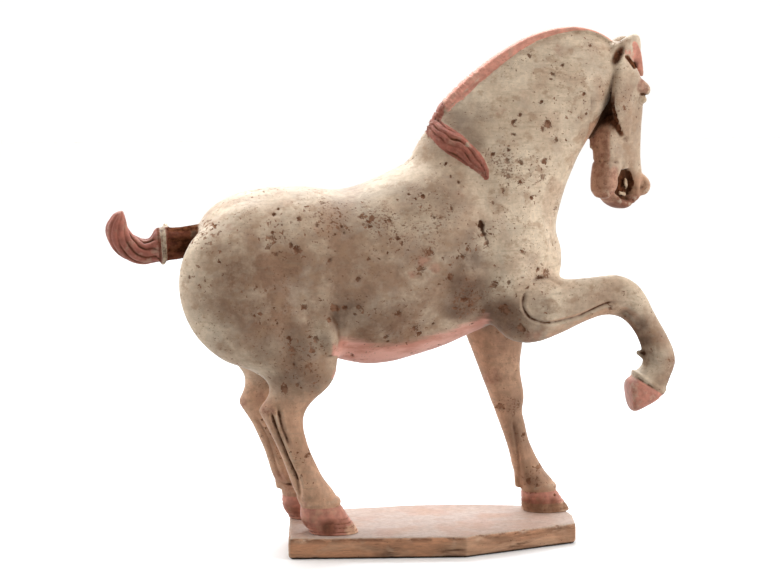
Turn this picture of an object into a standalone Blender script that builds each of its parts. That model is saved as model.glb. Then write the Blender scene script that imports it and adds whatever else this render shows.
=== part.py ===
"""A pottery horse of Tang type on its own plinth.

The horse is one fired piece, standing on a hand-cut slab. It is modelled in metres with
+X towards the head, +Y towards the horse's left and +Z up. The origin is the middle of the
plinth's underside.

The figure's pose and proportions are laid out on a grid of 496 parts to its height, with
heights counted from the soles, so one part is a millimetre at the real size.
"""

import math

import bmesh
import bpy
import numpy as np
from mathutils import Matrix, Vector
from mathutils.bvhtree import BVHTree

# Driving sizes, in metres
HORSE_HEIGHT = 0.496
SOLE_GAP = 0.0003
PLINTH_THICKNESS = 0.0213
PLINTH_MARGIN = 0.003
PLINTH_EDGE_ROUNDING = 0.0012

# The figure's grid
GRID_HEIGHT = 496.0
PART = HORSE_HEIGHT / GRID_HEIGHT

# Fineness, in parts of the grid
SOFT_VOXEL = 3.4
FINE_VOXEL = 1.8
HORSE_TRIANGLES = 9400

# The head hangs from the poll and is turned towards the horse's left
POLL = (190.0, 6.0, 477.5)
HEAD_TURN = math.radians(35.0)

# Across the body: where each leg stands
HIND_OUT = 38.0
FORE_OUT = 33.0
RAISED_OUT = 38.0


# Curves and shells


def through(rows, count):
    """Rows on a smooth curve through the given rows: a cubic with centripetal spacing."""
    rows = np.asarray(rows, dtype=float)
    chords = np.linalg.norm(np.diff(rows, axis=0), axis=1) ** 0.5
    knots = np.concatenate([[0.0], np.cumsum(chords)])
    slopes = np.diff(rows, axis=0) / chords[:, None]
    tangents = np.empty_like(rows)
    tangents[0] = slopes[0]
    tangents[-1] = slopes[-1]
    before = chords[:-1, None]
    after = chords[1:, None]
    tangents[1:-1] = (slopes[:-1] * after + slopes[1:] * before) / (before + after)
    place = np.linspace(0.0, knots[-1], count)
    span = np.clip(np.searchsorted(knots, place, side="right") - 1, 0, len(chords) - 1)
    width = chords[span][:, None]
    t = ((place - knots[span]) / chords[span])[:, None]
    start = rows[span] * (2 * t**3 - 3 * t**2 + 1) + tangents[span] * width * (t**3 - 2 * t**2 + t)
    end = rows[span + 1] * (3 * t**2 - 2 * t**3) + tangents[span + 1] * width * (t**3 - t**2)
    return start + end


def skin_rings(rings):
    """A closed shell over a stack of rings: quads between rings, and a fan at each end."""
    count, sides = rings.shape[:2]
    points = rings.reshape(-1, 3)
    ends = np.array([rings[0].mean(axis=0), rings[-1].mean(axis=0)])
    here = np.arange(count * sides).reshape(count, sides)
    beside = np.roll(here, -1, axis=1)
    quads = np.stack([here[:-1], here[1:], beside[1:], beside[:-1]], axis=-1).reshape(-1, 4)
    first = np.stack([np.full(sides, count * sides), here[0], beside[0]], axis=-1)
    last = np.stack([np.full(sides, count * sides + 1), beside[-1], here[-1]], axis=-1)
    return np.concatenate([points, ends]), quads.tolist() + first.tolist() + last.tolist()


def loft(stations, steps=48, sides=36, round_ends=(0.6, 0.6)):
    """A limb or trunk. Each station is two rim points in the XZ plane and what lies across them:
    (rim x, rim z, other rim x, other rim z, middle y, half width, egg, squareness).
    The section is a superellipse between the two rims; egg widens it towards the first rim."""
    rows = through([list(s) + [0.0, 2.0][len(s) - 6:] for s in stations], steps)
    first = rows[:, 0:2]
    second = rows[:, 2:4]
    middle = np.stack([(first[:, 0] + second[:, 0]) / 2, rows[:, 4], (first[:, 1] + second[:, 1]) / 2], axis=1)
    reach = np.stack([(first[:, 0] - second[:, 0]) / 2, np.zeros(steps), (first[:, 1] - second[:, 1]) / 2], axis=1)
    across = rows[:, 5]
    egg = rows[:, 6]
    power = 2.0 / rows[:, 7]
    middle, reach, across, egg, power = with_domes(middle, reach, across, egg, power, round_ends)
    turn = np.linspace(0.0, 2 * math.pi, sides, endpoint=False)[None, :]
    u = np.sign(np.cos(turn)) * np.abs(np.cos(turn)) ** power[:, None]
    v = np.sign(np.sin(turn)) * np.abs(np.sin(turn)) ** power[:, None]
    v = v * (1.0 + egg[:, None] * u)
    rings = middle[:, None, :] + reach[:, None, :] * u[:, :, None]
    rings[:, :, 1] += across[:, None] * v
    return skin_rings(rings)


def with_domes(middle, reach, across, egg, power, round_ends):
    """Adds rings past both ends that close them as domes, deep by a share of the end's size."""
    angles = np.radians([25.0, 45.0, 62.0, 76.0, 86.0])
    parts = [(middle, reach, across, egg, power)]
    for end, share in ((0, round_ends[0]), (-1, round_ends[1])):
        inner = 1 if end == 0 else -2
        away = middle[end] - middle[inner]
        away = away / max(np.linalg.norm(away), 1e-9)
        depth = share * min(np.linalg.norm(reach[end]), across[end])
        rings = (
            middle[end] + away * depth * np.sin(angles)[:, None],
            reach[end] * np.cos(angles)[:, None],
            across[end] * np.cos(angles),
            np.full(len(angles), egg[end]),
            np.full(len(angles), power[end]),
        )
        if end == 0:
            parts.insert(0, tuple(r[::-1] for r in rings))
        else:
            parts.append(rings)
    return tuple(np.concatenate(columns) for columns in zip(*parts))


def tube(path, sides=20, steps=36, flat=1.0, lean=(0.0, 1.0, 0.0)):
    """A tapering tube along (x, y, z, radius) rows. flat thins it across the lean direction."""
    rows = through(path, steps)
    centre = rows[:, :3]
    along = np.gradient(centre, axis=0)
    along /= np.linalg.norm(along, axis=1)[:, None]
    thin = np.asarray(lean, dtype=float)[None, :] - along * (along @ np.asarray(lean, dtype=float))[:, None]
    thin /= np.linalg.norm(thin, axis=1)[:, None]
    wide = np.cross(along, thin)
    turn = np.linspace(0.0, 2 * math.pi, sides, endpoint=False)[None, :, None]
    ring = np.cos(turn) * wide[:, None, :] + flat * np.sin(turn) * thin[:, None, :]
    return skin_rings(centre[:, None, :] + rows[:, 3][:, None, None] * ring)


def ball(centre, radii, turns=(0.0, 0.0, 0.0)):
    """An ellipsoid for a muscle or a swelling, turned about X, Y and Z in degrees."""
    form = bmesh.new()
    bmesh.ops.create_uvsphere(form, u_segments=28, v_segments=16, radius=1.0)
    points = np.array([v.co[:] for v in form.verts])
    faces = [[v.index for v in f.verts] for f in form.faces]
    form.free()
    spin = Matrix.Rotation(math.radians(turns[2]), 3, "Z")
    spin = spin @ Matrix.Rotation(math.radians(turns[1]), 3, "Y")
    spin = spin @ Matrix.Rotation(math.radians(turns[0]), 3, "X")
    return points * np.asarray(radii) @ np.array(spin).T + np.asarray(centre), faces


def on_head(shell):
    """Moves a shell from the head's own frame, with the poll at the origin, to the figure's."""
    points, faces = shell
    c, s = math.cos(HEAD_TURN), math.sin(HEAD_TURN)
    turn = np.array([[c, -s, 0.0], [s, c, 0.0], [0.0, 0.0, 1.0]])
    return points @ turn.T + np.asarray(POLL), faces


def both_sides(make, *args):
    """The same form on the head's right and left."""
    return [make(-1.0, *args), make(1.0, *args)]


# The soft masses: trunk, neck and limbs


def trunk():
    """Barrel from rump to breast: top and bottom rims, and half width."""
    return loft(
        [
            (-247, 268, -247, 240, 0, 22, 0.0, 2.0),
            (-240, 290, -240, 222, 0, 36, 0.0, 2.0),
            (-225, 312, -225, 205, 0, 46, 0.0, 2.1),
            (-205, 327, -205, 195, 0, 54, 0.0, 2.1),
            (-180, 335, -180, 186, 0, 61, 0.0, 2.1),
            (-150, 338, -150, 178, 0, 65, 0.0, 2.1),
            (-122, 337.5, -122, 173, 0, 66, 0.0, 2.1),
            (-97, 334.5, -97, 167, 0, 66, 0.0, 2.1),
            (-70, 340, -70, 161, 0, 67, 0.0, 2.1),
            (-45, 351, -45, 162, 0, 67, 0.0, 2.1),
            (-20, 363, -20, 168, 0, 66, -0.04, 2.1),
            (10, 374, 10, 177, 0, 63, -0.08, 2.1),
            (45, 372, 40, 190, 0, 58, -0.1, 2.1),
            (80, 355, 72, 203, 0, 52, -0.1, 2.1),
            (104, 325, 97, 218, 0, 43, 0.0, 2.0),
            (119, 295, 113, 234, 0, 28, 0.0, 2.0),
        ],
        steps=80,
        sides=48,
    )


def neck():
    """Arched neck: crest and throat rims, thinner towards the crest."""
    return loft(
        [
            (-28, 355, 84, 222, 0, 50, -0.10, 2.0),
            (-14, 381, 112, 247, 0, 50, -0.14, 2.0),
            (1, 404, 124, 272, 0, 46, -0.2, 2.0),
            (21, 425, 125, 297, 0, 41, -0.22, 2.0),
            (47, 447, 131, 322, 0, 36, -0.22, 2.0),
            (77, 468, 139, 345, 0, 31.5, -0.22, 2.0),
            (107, 481.5, 149, 367, 1, 28, -0.22, 2.0),
            (137, 487, 158.5, 388, 2, 24, -0.2, 2.0),
            (162, 482.5, 164, 407, 4, 20, -0.14, 2.0),
            (179, 474, 174, 426, 6, 17, -0.05, 2.0),
        ],
        steps=64,
        sides=44,
    )


def near_hind():
    """Right hind leg from haunch to pastern: front and back rims."""
    y = -HIND_OUT
    return loft(
        [
            (-158, 318, -212, 312, y + 12, 20, 0.0, 2.0),
            (-138, 290, -240, 287, y + 7, 31, 0.0, 2.0),
            (-124, 258, -250, 252, y + 4, 35, 0.0, 2.0),
            (-113, 228, -247, 220, y + 3, 34, 0.0, 2.0),
            (-106, 203, -235, 192, y + 2, 31, 0.0, 2.0),
            (-101, 183, -212, 172, y + 1, 28, 0.0, 2.1),
            (-100.5, 168, -188, 163, y, 25, 0.1, 2.1),
            (-103, 154, -171, 152, y, 22, 0.1, 2.1),
            (-110, 143, -167, 142, y, 18.5, 0.1, 2.1),
            (-121, 134, -171, 132, y, 16, 0.05, 2.2),
            (-130, 124, -178, 123, y, 15, 0.0, 2.2),
            (-134, 113, -173.5, 113, y, 13.5, 0.0, 2.2),
            (-133, 101, -167.5, 101, y, 12.5, 0.0, 2.2),
            (-128, 83, -159, 83, y, 12, 0.0, 2.2),
            (-121, 67, -152.5, 67, y, 12.5, 0.0, 2.2),
            (-114, 53, -147.5, 53, y, 14.5, 0.0, 2.1),
            (-106, 43, -144, 43, y, 15.5, 0.0, 2.1),
            (-101, 35, -139.5, 35, y, 16, 0.0, 2.1),
            (-99, 24, -134, 24, y, 16, 0.0, 2.1),
        ],
        steps=110,
        sides=36,
        round_ends=(0.6, 0.1),
    )


def far_hind():
    """Left hind leg, set a little further back than the right one."""
    y = HIND_OUT - 1
    return loft(
        [
            (-158, 318, -212, 312, y - 12, 20, 0.0, 2.0),
            (-138, 290, -240, 287, y - 7, 31, 0.0, 2.0),
            (-124, 258, -250, 252, y - 4, 35, 0.0, 2.0),
            (-113, 228, -247, 220, y - 3, 34, 0.0, 2.0),
            (-108, 203, -235, 192, y - 2, 31, 0.0, 2.0),
            (-106, 183, -214, 172, y - 1, 28, 0.0, 2.1),
            (-107, 166, -196, 160, y, 25, 0.1, 2.1),
            (-112, 151, -186, 148, y, 21.5, 0.1, 2.1),
            (-121, 139, -184.5, 137, y, 18, 0.1, 2.1),
            (-132, 130, -187, 128, y, 16, 0.05, 2.2),
            (-141, 120, -191, 119, y, 15, 0.0, 2.2),
            (-146, 109, -186, 109, y, 13.5, 0.0, 2.2),
            (-146, 96, -178.5, 96, y, 12.5, 0.0, 2.2),
            (-142, 80, -171.5, 80, y, 12, 0.0, 2.2),
            (-136, 66, -165.5, 66, y, 12.5, 0.0, 2.2),
            (-127, 52, -160, 52, y, 14, 0.0, 2.1),
            (-116, 41, -156, 41, y, 15.5, 0.0, 2.1),
            (-108, 31, -150, 31, y, 16, 0.0, 2.1),
            (-106, 21, -144, 21, y, 16, 0.0, 2.1),
        ],
        steps=110,
        sides=36,
        round_ends=(0.6, 0.1),
    )


def far_fore():
    """Left foreleg, the standing one, which slants forwards to the hoof."""
    y = FORE_OUT
    return loft(
        [
            (112, 262, 30, 255, y - 5, 22, 0.0, 2.0),
            (109, 228, 32, 220, y - 2, 25, 0.0, 2.0),
            (103, 196, 38, 192, y, 23, 0.0, 2.0),
            (99.5, 168, 47, 168, y, 20, 0.0, 2.1),
            (97.5, 150, 54, 150, y, 18, 0.0, 2.2),
            (99.5, 134, 60, 134, y, 17.5, 0.0, 2.3),
            (101.5, 124, 64, 124, y, 17.5, 0.0, 2.3),
            (102, 114, 67.5, 114, y, 16, 0.0, 2.2),
            (100, 104, 71.5, 104, y, 13.5, 0.0, 2.2),
            (103, 91, 76.5, 91, y, 12.5, 0.0, 2.2),
            (107, 74, 82.5, 74, y, 12, 0.0, 2.2),
            (113, 60, 87, 60, y, 12.5, 0.0, 2.2),
            (119.5, 48, 89.5, 48, y, 14.5, 0.0, 2.1),
            (126, 38, 92.5, 38, y, 15.5, 0.0, 2.1),
            (133.5, 30, 96, 30, y, 16, 0.0, 2.1),
            (135, 20, 101, 20, y, 16, 0.0, 2.1),
        ],
        steps=96,
        sides=36,
        round_ends=(0.6, 0.1),
    )


def near_fore():
    """Right foreleg, raised and bent: top and underside rims out to the pastern."""
    y = -RAISED_OUT
    return loft(
        [
            (78, 268, 52, 205, y + 4, 20, 0.0, 2.0),
            (98, 256, 72, 186, y + 1, 22, 0.0, 2.0),
            (115, 247.5, 96, 183, y, 21, 0.0, 2.1),
            (133, 246, 122, 191.5, y, 18, 0.0, 2.2),
            (152, 247, 147, 203, y, 15.5, 0.0, 2.2),
            (169, 249, 166, 209, y, 14.5, 0.0, 2.3),
            (184, 248.5, 180, 208, y, 15.5, 0.0, 2.4),
            (199, 241, 189.5, 202.5, y, 15.5, 0.0, 2.4),
            (209, 229.5, 195.5, 196, y, 14, 0.0, 2.3),
            (216.5, 215, 200.5, 188, y, 12.5, 0.0, 2.2),
            (224, 202, 204, 180, y, 12, 0.0, 2.2),
            (232, 188.5, 206.5, 172.5, y, 13, 0.0, 2.1),
            (239.5, 172, 207, 163.5, y, 15, 0.0, 2.1),
            (240.5, 159, 206, 158.5, y, 15, 0.0, 2.1),
            (236, 146, 203, 155.5, y, 14.5, 0.0, 2.1),
            (230, 131, 198, 151, y, 16, 0.0, 2.1),
        ],
        steps=96,
        sides=36,
        round_ends=(0.6, 0.1),
    )


def muscles():
    """Swellings under the skin: shoulders, breast, haunches and the points of the elbows."""
    return [
        ball((70, -34, 262), (40, 25, 62), (0, 18, 6)),
        ball((70, 34, 262), (40, 25, 62), (0, 18, -6)),
        ball((100, -18, 258), (27, 22, 30)),
        ball((100, 18, 258), (27, 22, 30)),
        ball((84, -35, 214), (26, 22, 30), (0, 30, 0)),
        ball((72, 31, 214), (28, 21, 34), (0, 20, 0)),
        ball((-175, -30, 262), (62, 34, 62)),
        ball((-175, 30, 262), (62, 34, 62)),
    ]


def flank_folds():
    """The roll of skin from flank to stifle, on each side."""
    fold = [(-126, 42, 240, 6), (-120, 48, 218, 9), (-115.5, 50, 203, 10.5), (-113, 48, 190, 10), (-115, 42, 179, 7)]
    return [
        tube([(x - lag, side * y, z, r) for x, y, z, r in fold], lean=(1, 0, 0))
        for side, lag in ((-1, 0), (1, 3))
    ]


# The head, in its own frame


def skull():
    """Forehead, face and cheeks down to the bars of the mouth."""
    return loft(
        [
            (0, 0, -15, -6, 0, 10, 0.0, 2.2),
            (10, -12, -20, -16, 0, 14.5, 0.0, 2.3),
            (18, -27, -18, -32, 0, 18.5, 0.1, 2.5),
            (24.5, -44, -13, -50, 0, 19.5, 0.12, 2.8),
            (26, -62, -9, -68, 0, 17.5, 0.05, 3.0),
            (27, -84, -8, -88, 0, 15, 0.0, 3.0),
            (28, -104, -10, -106, 0, 13.5, 0.0, 3.0),
            (28.5, -120, -6, -118, 0, 13, 0.0, 2.8),
        ],
        steps=48,
        sides=36,
    )


def upper_lip():
    """Muzzle that curls down and back over the open mouth."""
    return loft(
        [
            (27, -100, -6, -104, 0, 13, 0.0, 2.8),
            (28.5, -120, 0, -122, 0, 13.5, 0.0, 2.6),
            (29, -136, 8, -134, 0, 15, 0.0, 2.3),
            (28, -148, 11, -144, 0, 15.5, 0.0, 2.2),
            (22, -158, 11, -150, 0, 15, 0.0, 2.1),
            (14, -164.5, 6, -153, 0, 14, 0.0, 2.1),
            (5, -166.5, 0, -154, 0, 12, 0.0, 2.1),
            (-4, -163.5, -6, -153.5, 0, 9.5, 0.0, 2.1),
        ],
        steps=44,
        sides=32,
        round_ends=(0.3, 0.7),
    )


def lower_jaw():
    """Jaw block from the cheeks to the lower lip: mouth side and underside rims."""
    return loft(
        [
            (2, -72, -13, -72, 0, 9, 0.0, 2.4),
            (0, -88, -23.5, -86, 0, 12, 0.0, 2.6),
            (-1, -103, -26, -100, 0, 13, 0.0, 2.6),
            (0, -118, -26, -116, 0, 13, 0.0, 2.5),
            (0, -128, -28.5, -127, 0, 13.5, 0.0, 2.4),
            (-6, -138, -30, -138, 0, 13.5, 0.0, 2.3),
            (-11, -146, -29.5, -147, 0, 12.5, 0.0, 2.2),
            (-14, -150, -27, -151, 0, 10.5, 0.0, 2.1),
        ],
        steps=36,
        sides=28,
        round_ends=(0.4, 0.8),
    )


def cheek(side):
    """One jowl: a flat rounded plate behind the skull, with the jaw hollow between the two."""
    low = -12.0 if side < 0 else -29.5
    depth = -92.0 if side < 0 else -100.0
    return loft(
        [
            (4, -18, -16, -24, side * 11, 5, 0.0, 2.2),
            (8, -38, -23, -40, side * 12.5, 6.5, 0.0, 2.4),
            (9, -56, -25.5, -57, side * 12.8, 6.5, 0.0, 2.4),
            (8, -74, (low - 25.5) / 2, -76, side * 12, 5.5, 0.0, 2.4),
            (7, depth + 3, low, depth, side * 10.5, 4.5, 0.0, 2.3),
        ],
        steps=28,
        sides=24,
    )


def brow(side):
    """Bony ridge over the eye."""
    path = [(6, side * 12, -42, 4), (14, side * 17.5, -42, 5.2), (20, side * 20.5, -45, 6), (25, side * 16.5, -50, 4.5)]
    return tube(path, lean=(0, 0, 1), flat=0.8)


def eye(side):
    """Eyeball under the brow."""
    return ball((18, side * 17, -56.5), (6.2, 5.6, 5.2), (0, 18, side * -16))


def lower_lid(side):
    """Rim under the eye."""
    path = [(8, side * 14.5, -56, 1.8), (14, side * 18, -61.5, 2), (20, side * 18, -63.5, 2), (24.5, side * 14, -60, 1.8)]
    return tube(path)


def nostril(side):
    """Flared wing of the nostril."""
    path = [
        (21, side * 9, -131, 3.0),
        (26, side * 14, -134, 3.4),
        (27, side * 17, -141, 3.6),
        (24, side * 16.5, -148, 3.2),
        (20, side * 13, -150, 2.8),
    ]
    return tube(path)


def ear(side):
    """Short pricked ear, leaning forwards."""
    path = [
        (7, side * 6.5, -14, 5.5),
        (11, side * 7.5, -6, 6.8),
        (16, side * 8, 0.5, 7.0),
        (21, side * 8, 4, 5.6),
        (26, side * 7, 5.5, 3.0),
    ]
    return tube(path, flat=0.62, lean=(0, 1, 0))


def forelock():
    """Tuft that springs forwards between the ears and hangs clear of the forehead."""
    path = [
        (2, 0, -6, 5.0),
        (11, -1, 0, 6.6),
        (19, -3, 0, 6.6),
        (25.5, -6, -15, 5.6),
        (27.5, -7, -24, 4.6),
        (29, -8, -32, 2.6),
    ]
    return tube(path, flat=0.8, lean=(1, 0, 0))


def mouth_inside():
    """What shows in the open mouth: a tongue bed, and a row of teeth on each jaw."""
    return [
        loft([(3, -112, -16, -110, 0, 8), (4, -130, -14, -128, 0, 7.5), (2, -142, -16, -141, 0, 6)], steps=12, sides=20),
        tube([(7, -11, -134, 2.6), (9, -9.5, -140, 2.8), (8, 0, -144, 2.8), (9, 9.5, -140, 2.8), (7, 11, -134, 2.6)]),
        tube([(-6, -10, -142, 2.6), (-3, -9, -148, 2.6), (-4, 0, -150, 2.6), (-3, 9, -148, 2.6), (-6, 10, -142, 2.6)]),
    ]


# Crisp forms: mane, tail and hooves


def mane_band():
    """Hogged mane: a strap along the crest from withers to poll."""
    return loft(
        [
            (-9, 390, 1, 383, 0, 7, 0.0, 3.2),
            (-2, 402, 8, 394, 0, 8.5, 0.0, 3.2),
            (8, 419.5, 16, 409, 0, 9, 0.0, 3.2),
            (23, 435.5, 30, 424, 0, 9, 0.0, 3.2),
            (43, 453, 50, 441, 0, 9, 0.0, 3.2),
            (63, 467.5, 69, 455.5, 0, 9, 0.0, 3.2),
            (83, 480, 87, 468, 0, 8.5, 0.0, 3.2),
            (103, 489, 106, 477, 1, 8, 0.0, 3.2),
            (124, 494.5, 125, 483, 1.5, 7.5, 0.0, 3.2),
            (144, 496, 144, 485, 2, 7, 0.0, 3.2),
            (164, 491.5, 161, 481.5, 3.5, 6.5, 0.0, 3.2),
            (179, 484, 175, 475.5, 5, 6, 0.0, 3.2),
            (186, 478, 182, 471, 6, 5, 0.0, 3.2),
        ],
        steps=90,
        sides=24,
    )


def mane_lock(skin):
    """Lock that falls from the withers over the right shoulder, laid on the skin below it."""
    line = through([(2, 391), (7, 385), (15, 378), (24, 371), (33, 363.5), (40, 357), (45, 352)], 16)
    rows = [(-4, -3, 400, 9), (-1, -7, 396, 10)]
    for share, (x, z) in zip(np.linspace(0.0, 1.0, len(line)), line):
        hit = skin.ray_cast(Vector((x, -200.0, z)), Vector((0.0, 1.0, 0.0)))[0]
        rows.append((x, hit.y - 0.6, z, 10.8 - 4.0 * share**1.5))
    return tube(rows, flat=0.5, lean=(0, 1, 0), steps=40, sides=28)


def tail():
    """Docked and bound tail that leaves the rump level and curls up at its end."""
    return loft(
        [
            (-225, 270, -222, 304, 0, 14, 0.0, 2.0),
            (-241, 269.5, -238, 301, 0, 15, 0.0, 2.0),
            (-256, 267, -255.5, 299, 0, 15.5, 0.0, 2.0),
            (-268, 266, -268, 299.5, 0, 15.5, 0.0, 2.0),
            (-277, 264.5, -274, 298, 0, 14.5, 0.0, 2.0),
            (-286, 263, -279.5, 289.5, 0, 13.5, 0.0, 2.0),
            (-296, 265, -285.5, 288.5, 0, 13, 0.0, 2.0),
            (-306, 270, -291, 290.5, 0, 12.5, 0.0, 2.0),
            (-313.5, 276, -296, 293.5, 0, 12, 0.0, 2.0),
            (-319.5, 285, -300, 299, 0, 11.5, 0.0, 2.0),
            (-322.5, 295, -301.5, 304.5, 0, 10.5, 0.0, 2.0),
            (-321.5, 303, -303, 310.5, 0, 9, 0.0, 2.0),
            (-317, 310, -304.5, 314.5, 0, 6.5, 0.0, 2.0),
        ],
        steps=60,
        sides=32,
        round_ends=(0.5, 0.5),
    )


def tail_ring():
    """Binding ring round the tail, a little proud of it."""
    return loft(
        [
            (-269.5, 262.5, -266.5, 303.5, 0, 18.5, 0.0, 2.0),
            (-264.5, 262.5, -261.5, 303.5, 0, 18.5, 0.0, 2.0),
        ],
        steps=4,
        sides=36,
        round_ends=(0.06, 0.06),
    )


def hoof(front, back, toe, heel, y, height):
    """A standing hoof: a collar at the coronet, a wall that flares to the toe and is undercut at
    the heel, and a foot that runs on below height nought, where the sole is cut level."""
    return loft(
        [
            (front - 3.5, height + 8, back + 1, height + 6, y, 16.2, 0.0, 2.2),
            (front - 0.8, height + 6, back - 0.6, height + 4, y, 17.8, 0.0, 2.3),
            (front - 0.2, height + 2, back - 0.6, height + 0.5, y, 18.3, 0.0, 2.3),
            (front - 1.4, height + 0.5, back + 0.5, height - 1, y, 17.2, 0.0, 2.3),
            (front + 1.0, height - 2, back - 0.2, height - 3, y, 18.8, 0.0, 2.3),
            (front + 0.45 * (toe - front), height * 0.55, back + 0.2, height * 0.5, y, 20.3, 0.0, 2.4),
            (front + 0.8 * (toe - front), height * 0.25, (back + heel) / 2, height * 0.22, y, 21.2, 0.0, 2.4),
            (toe, 1.5, heel, 1.5, y, 21.8, 0.0, 2.4),
            (toe + 1, -10.0, heel, -10.0, y, 22.0, 0.0, 2.4),
        ],
        steps=46,
        sides=40,
        round_ends=(0.05, 0.05),
    )


def hooves():
    """The three standing hooves and the raised one, whose sole faces backwards."""
    y = -RAISED_OUT
    raised = loft(
        [
            (232, 133, 197, 154, y, 15.0, 0.0, 2.2),
            (231.5, 130.5, 196, 152, y, 17.0, 0.0, 2.3),
            (230, 128, 195, 150.5, y, 17.8, 0.0, 2.3),
            (226, 126.5, 197.5, 148.5, y, 16.6, 0.0, 2.3),
            (222, 123, 196.5, 147.5, y, 18.0, 0.0, 2.4),
            (211, 117, 195.5, 146.5, y, 19.0, 0.0, 2.4),
            (199.5, 112, 193.5, 145, y, 19.3, 0.0, 2.4),
            (196.5, 112.5, 192, 143.5, y, 18.5, 0.0, 2.4),
        ],
        steps=30,
        sides=36,
        round_ends=(0.05, 0.12),
    )
    return [
        hoof(-97, -137, -80.5, -129, -HIND_OUT, 27.0),
        hoof(-105, -147, -90, -141, HIND_OUT - 1, 24.0),
        hoof(136.5, 100.5, 149.5, 101, FORE_OUT, 21.0),
        raised,
    ]


def fetlock_tufts():
    """The small pointed tuft behind each fetlock."""
    return [
        tube([(-132, -HIND_OUT, 44, 8), (-134, -HIND_OUT, 35, 7), (-135, -HIND_OUT, 28, 3.5)]),
        tube([(-146, HIND_OUT - 1, 48, 8), (-148, HIND_OUT - 1, 37, 6.5), (-149, HIND_OUT - 1, 29, 4)]),
        tube([(100, FORE_OUT, 42, 8), (98, FORE_OUT, 30, 5.5), (97, FORE_OUT, 23, 3.5)]),
        tube([(216, -RAISED_OUT, 164, 6), (208, -RAISED_OUT, 167.5, 4), (203.5, -RAISED_OUT, 170, 2.4)]),
    ]


# Fusing and smoothing


def mesh_object(name, shells):
    """One mesh object holding all the shells, which still overlap."""
    points = []
    faces = []
    for verts, polys in shells:
        start = len(points)
        points.extend(verts.tolist())
        faces.extend([[start + i for i in poly] for poly in polys])
    mesh = bpy.data.meshes.new(name)
    mesh.from_pydata(points, [], faces)
    result = bpy.data.objects.new(name, mesh)
    bpy.context.scene.collection.objects.link(result)
    return result


def evaluated(obj):
    """Replaces the object's mesh with what its modifiers make of it."""
    graph = bpy.context.evaluated_depsgraph_get()
    result = bpy.data.meshes.new_from_object(obj.evaluated_get(graph))
    obj.modifiers.clear()
    obj.data = result
    return obj


def fuse(obj, voxel):
    """Fuses the overlapping shells into one closed skin."""
    remesh = obj.modifiers.new("Fuse", "REMESH")
    remesh.mode = "VOXEL"
    remesh.voxel_size = voxel
    return evaluated(obj)


def fill_creases(obj, rounds, ridge_share):
    """Moves each point towards its neighbours' mean: fully in a crease, by a share on a ridge."""
    mesh = obj.data
    points = np.empty(len(mesh.vertices) * 3)
    mesh.vertices.foreach_get("co", points)
    points = points.reshape(-1, 3)
    edges = np.empty(len(mesh.edges) * 2, dtype=np.int64)
    mesh.edges.foreach_get("vertices", edges)
    edges = edges.reshape(-1, 2)
    ends = np.concatenate([edges[:, 0], edges[:, 1]])
    others = np.concatenate([edges[:, 1], edges[:, 0]])
    valence = np.bincount(ends, minlength=len(points))[:, None]
    for _ in range(rounds):
        total = np.stack([np.bincount(ends, points[others, k], len(points)) for k in range(3)], axis=1)
        pull = total / valence - points
        mesh.vertices.foreach_set("co", points.ravel())
        mesh.update()
        normals = np.empty(len(points) * 3)
        mesh.vertex_normals.foreach_get("vector", normals)
        normals = normals.reshape(-1, 3)
        lift = (pull * normals).sum(axis=1)[:, None]
        sideways = pull - normals * lift
        points = points + 0.5 * sideways + normals * lift * np.where(lift > 0, 0.55, 0.55 * ridge_share)
    mesh.vertices.foreach_set("co", points.ravel())
    mesh.update()
    return obj


def grooves():
    """Cut lines, each with its path, half width and depth: round the forearm, and beside the hock tendons."""
    forearm = [(101, 256), (94, 246), (82, 231), (81, 223), (87, 211), (104, 205), (122, 207), (139, 211)]
    forearm += [(153, 217), (174, 225), (193, 220.5), (204, 204), (213.5, 186)]
    tendon = [(-169, 123), (-157, 96), (-148, 71), (-141, 51), (-137.5, 33)]
    hock = [(-160.5, 128), (-160, 119), (-159, 110)]
    return [
        ([(x, -RAISED_OUT - 16, z) for x, z in forearm], 2.6, 2.4),
        ([(x, -HIND_OUT - 12, z) for x, z in tendon], 2.6, 3.2),
        ([(x, -HIND_OUT - 13, z) for x, z in hock], 2.2, 2.2),
    ]


def engrave(obj, path, width, depth):
    """Presses a groove along the path: each point sinks by a bell curve of its distance in side view."""
    mesh = obj.data
    points = np.empty(len(mesh.vertices) * 3)
    mesh.vertices.foreach_get("co", points)
    points = points.reshape(-1, 3)
    normals = np.empty(len(points) * 3)
    mesh.vertex_normals.foreach_get("vector", normals)
    normals = normals.reshape(-1, 3)
    line = through(path, 12 * len(path))
    near = np.where(np.abs(points[:, 1] - line[0, 1]) < 18)[0]
    near = near[(points[near, 0] > line[:, 0].min() - 10) & (points[near, 0] < line[:, 0].max() + 10)]
    away = np.linalg.norm(points[near][:, None, ::2] - line[None, :, ::2], axis=2).min(axis=1)
    facing = np.clip(-normals[near, 1], 0.0, 1.0)
    points[near] -= normals[near] * (depth * facing * np.exp(-((away / width) ** 2)))[:, None]
    mesh.vertices.foreach_set("co", points.ravel())
    mesh.update()


def skin_tree(obj):
    """A search tree over the object's faces."""
    form = bmesh.new()
    form.from_mesh(obj.data)
    tree = BVHTree.FromBMesh(form)
    form.free()
    return tree


def level_soles(obj):
    """Cuts everything below height nought away, and closes the cut flat."""
    form = bmesh.new()
    form.from_mesh(obj.data)
    everything = form.verts[:] + form.edges[:] + form.faces[:]
    cut = bmesh.ops.bisect_plane(form, geom=everything, plane_co=(0, 0, 0), plane_no=(0, 0, 1), clear_inner=True)
    rim = [e for e in cut["geom_cut"] if isinstance(e, bmesh.types.BMEdge)]
    bmesh.ops.contextual_create(form, geom=rim)
    bmesh.ops.triangulate(form, faces=form.faces[:])
    bmesh.ops.recalc_face_normals(form, faces=form.faces[:])
    form.to_mesh(obj.data)
    form.free()
    return obj


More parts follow.
